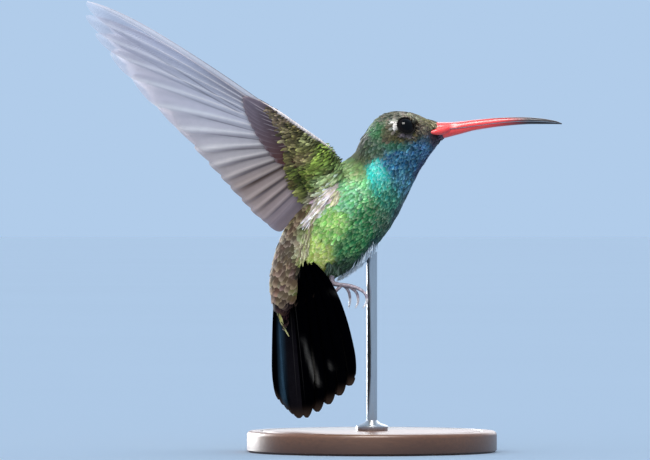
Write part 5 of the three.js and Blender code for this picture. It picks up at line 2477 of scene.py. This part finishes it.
@dataclass(frozen=True)
class Legs:
    """Short shanks and curled toes with scutes and pale claws."""

    hip: tuple[float, float, float] = (-6.4, 1.9, 29.2)
    ankle: tuple[float, float, float] = (-6.3, 2.4, 27.2)
    toe_root: tuple[float, float, float] = (-5.1, 2.8, 26.7)
    toes: tuple[tuple[float, float], ...] = ((0.9, 4.3), (0.1, 2.9), (-0.8, 1.6))
    shank_radius: float = 0.34
    toe_radius: float = 0.26
    scutes: int = 14
    scute_rise: float = 0.08
    claw_from: float = 0.66
    steps: int = 48
    sides: tuple[int, int] = (12, 10)

    def paths(self) -> list[tuple[Array, Array, bool]]:
        """Lays out the left leg.

        Returns:
            Centre lines, radii and whether each ends in a claw.
        """
        x, y, z = self.toe_root
        shank = np.array([self.hip, self.ankle, (x - 0.4, y, z + 0.1)])
        made = [(shank, np.array([0.42, self.shank_radius + 0.04, self.shank_radius]), False)]
        thickness = np.array([1.1, 1.0, 0.85, 0.7, 0.12]) * self.toe_radius
        for spread, reach in self.toes:
            ahead = np.array([-0.5, 0.45 * reach, 0.9 * reach, reach, 0.85 * reach])
            aside = np.array([0.0, 0.5, 0.85, 1.0, 1.0]) * spread
            up = np.array([0.1, -0.2, -1.2, -2.6, -3.7])
            made.append((np.stack([x + ahead, y + aside, z + up], axis=1), thickness, True))
        hind = np.array([(0.3, 0, 0), (-0.9, 0, -1.2), (-1.6, 0, -2.3), (-1.4, 0, -3.4)]) + self.toe_root
        return [*made, (hind, np.array([1.0, 0.95, 0.75, 0.12]) * self.toe_radius, True)]

    def build(self) -> list[bpy.types.Object]:
        """Makes the legs and claws of both sides.

        Returns:
            The pieces.
        """
        scaly = HideFinish("foot_skin", (166, 152, 158), (98, 86, 92), 0.55, 3000.0).build()
        horn = HideFinish("claw_horn", (214, 208, 206), (142, 132, 134), 0.3, 1600.0, 0.15).build()
        made = []
        t = np.linspace(0, 1, self.steps)
        for side in Side:
            foot, claws = MeshDraft(), MeshDraft()
            for path, radii, clawed in self.paths():
                line = spline(path, t) * [1, side.value, 1]
                radius = spline(radii, t)
                pad = t < (self.claw_from if clawed else 2.0)
                skin = radius[pad] * (1 + self.scute_rise * (1 - (t[pad] * self.scutes) % 1))
                foot.add(sweep(line[pad], skin, self.sides[0]), tube_faces(len(skin), self.sides[0]))
                if clawed:
                    tip = t > self.claw_from - 0.04
                    share = np.linspace(0, 1, int(tip.sum()))
                    point = radius[tip][0] * 0.95 * (1 - share) ** 0.7 + 0.02
                    ring = self.sides[1]
                    claws.add(sweep(line[tip], point, ring, 0.9), tube_faces(len(point), ring))
            legs = foot.build(f"leg_skin_{side.word}", scaly)
            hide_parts(f"leg_{side.word}")
            nails = claws.build(f"claws_{side.word}", horn)
            made += [legs, nails]
        return made


# ------------------------------------------------------------------ stand


@dataclass(frozen=True)
class Stand:
    """A turned walnut base with a steel rod into the belly."""

    radius: float = 20
    thickness: float = 3.4
    bevel: float = 0.7
    rod_radius: float = 0.85
    rod_top: float = 32.0
    foot_radius: float = 2.6
    foot_height: float = 1.1
    gap: float = 0.3
    pole: float = 0.02
    segments: int = 128
    crease: float = math.radians(35)

    def turned(
        self, name: str, profile: Sequence[tuple[float, float]], finish: bpy.types.Material
    ) -> bpy.types.Object:
        """Turns a closed solid about the upright axis.

        Args:
            name: The piece's name.
            profile: Radius and height, ring after ring.
            finish: Its material.

        Returns:
            The solid.
        """
        turns = turns_round(self.segments)
        rings = [np.stack([r * np.cos(turns), r * np.sin(turns), turns * 0 + z], axis=1) for r, z in profile]
        draft = MeshDraft()
        draft.add(np.concatenate(rings), tube_faces(len(rings), self.segments))
        made = draft.build(name, finish)
        made.data.set_sharp_from_angle(angle=self.crease)
        return made

    def build(self) -> list[bpy.types.Object]:
        """Makes the base and the rod.

        Returns:
            Both pieces.
        """
        r, h, b = self.radius, self.thickness, self.bevel
        turns = np.linspace(0, math.pi / 2, 7)
        rounding = [(r - b + b * math.cos(a), h - b + b * math.sin(a)) for a in turns]
        groove = [(r - 2.0, h), (r - 2.15, h - 0.22), (r - 2.5, h - 0.22), (r - 2.65, h)]
        base_profile = [(self.pole, 0.0), (r - 0.4, 0.0), (r, 0.35), *rounding, *groove, (self.pole, h)]
        base = self.turned("base_turned", base_profile, WoodFinish().build())
        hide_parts("stand_base")
        low = h + self.gap
        f, t, rod_r = self.foot_radius, self.foot_height, self.rod_radius
        flange = [(self.pole, h), (f - 0.1, h), (f, low), (f, low + 0.35 * t), (f - 0.15, low + 0.5 * t)]
        neck = [(rod_r + 0.5, low + 0.82 * t), (rod_r, low + t + 0.25)]
        rod_profile = [*flange, *neck, (rod_r, self.rod_top), (self.pole, self.rod_top)]
        rod = self.turned("rod_steel", rod_profile, SteelFinish().build())
        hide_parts("stand_rod")
        return [base, rod]


# ------------------------------------------------------------------ studio


@dataclass(frozen=True)
class Softbox:
    """A square studio light that faces the bird; distance and size in metres, power in watts."""

    name: str
    towards: tuple[float, float, float]
    distance: float
    size: float
    power: float
    colour: Colour = (1.0, 1.0, 1.0)
    shiny: bool = True


@dataclass(frozen=True)
class Studio:
    """Camera, floor, sky-pale surroundings and lights."""

    frame_px: tuple[int, int] = (650, 460)
    mm_per_px: float = 0.16
    distance: float = 1000.0
    aim: tuple[float, float] = (-7.5, 35.5)
    light_aim: float = 40.0
    sensor: float = 36.0
    floor_radius: float = 30.0
    pale: Colour = (177, 204, 234)
    lights: tuple[Softbox, ...] = (
        Softbox("key", (0.0, -0.42, 0.9), 1.2, 0.42, 18.0, (1.0, 0.98, 0.95)),
        Softbox("front", (-0.3, -1.0, 0.12), 1.6, 1.8, 30.0, shiny=False),
        Softbox("top", (-0.1, 0.05, 1.0), 1.6, 2.2, 16.0, shiny=False),
        Softbox("rim", (-0.6, 0.8, 0.2), 1.4, 0.6, 30.0), Softbox("back", (0.2, 0.9, 0.4), 1.5, 1.0, 7.0),
    )

    def build(self) -> None:
        """Makes everything that isn't the object."""
        self.camera()
        spared = self.spared(self.floor())
        centre = Vector((self.aim[0], 0, self.light_aim)) * MM
        for box in self.lights:
            lamp = bpy.data.lights.new(box.name, "AREA")
            lamp.size, lamp.energy, lamp.color = box.size, box.power, box.colour
            made = add_object(box.name, lamp)
            made.location = centre + Vector(box.towards).normalized() * box.distance
            made.rotation_euler = (centre - made.location).to_track_quat("-Z", "Y").to_euler()
            made.light_linking.receiver_collection = spared
            made.visible_glossy = box.shiny
        world = bpy.data.worlds.new("surroundings")
        world.use_nodes = True
        world.node_tree.nodes["Background"].inputs["Color"].default_value = (*srgb(*self.pale), 1)
        bpy.context.scene.world = world
        bpy.context.scene.view_settings.view_transform = "Standard"

    def camera(self) -> None:
        """The camera, level and square on to the bird's right side."""
        data = bpy.data.cameras.new("camera")
        data.sensor_width = self.sensor
        data.lens = self.sensor * self.distance / (self.frame_px[0] * self.mm_per_px)
        data.clip_end = 100
        made = add_object("camera", data)
        made.location = (self.aim[0] * MM, -self.distance * MM, self.aim[1] * MM)
        made.rotation_euler = (math.pi / 2, 0, 0)
        bpy.context.scene.camera = made

    @staticmethod
    def spared(floor: bpy.types.Object) -> bpy.types.Collection:
        """Makes lights leave the floor to the even light of the surroundings.

        Args:
            floor: The floor.

        Returns:
            The collection that the lights' linking reads.
        """
        made = bpy.data.collections.new("spared_by_lights")
        made.objects.link(floor)
        made.collection_objects[0].light_linking.link_state = "EXCLUDE"
        return made

    def floor(self) -> bpy.types.Object:
        """Lays a wide pale floor, level with the stand's underside.

        Returns:
            The floor.
        """
        bpy.ops.mesh.primitive_circle_add(vertices=96, radius=self.floor_radius, fill_type="NGON")
        made = bpy.context.object
        made.name = "floor"
        made.data.materials.append(FloorFinish().build())
        made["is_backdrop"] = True
        return made


# ------------------------------------------------------------------ the whole


def main() -> None:
    """Builds every piece in order, rides it on the frame and measures both boxes."""
    logging.basicConfig(level=logging.INFO, format="%(name)s: %(message)s")
    for thing in list(bpy.data.objects):
        bpy.data.objects.remove(thing)
    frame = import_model()
    cad_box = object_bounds()
    log.info("the frame has %d nodes", len(frame["nodes"]))
    Studio().build()
    small = SmallFeather().build("small_feather")
    eyes = Eyes()
    wing_finishes = (
        FeatherFinish(
            "flight_feather", 0.5, 90, 0.12, 0.12, 0.8, 0.1, specular=0.1, mottle=0.04,
            shaft=(228, 208, 200), see_through=True,
        ).build(),
        FeatherFinish("wing_covert", 0.42, 7, 0.35, 0.3).build(),
    )
    rectrix = FeatherFinish(
        "tail_feather", 0.6, 70, 0.14, 0.1, 0.9, 0.2, specular=0.0, shaft=(120, 116, 110)
    ).build()
    pieces = [
        *Coat(BodyForm(), Plumage(), eyes).build(small),
        *eyes.build(),
        *Bill().build(),
        *(piece for side in Side for piece in Wing(side).build(small, *wing_finishes)),
        *Tail().build(rectrix),
        *Legs().build(),
        *Stand().build(),
    ]
    bpy.data.objects.remove(small)
    for piece in pieces:
        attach(piece, BODY)
        log.info("%s: %d faces", piece.name, len(piece.data.polygons))
    boxes = {"cad": cad_box, "visual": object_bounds()}
    {name: [list(corner) for corner in box] for name, box in boxes.items()}


if __name__ == "__main__":
    main()
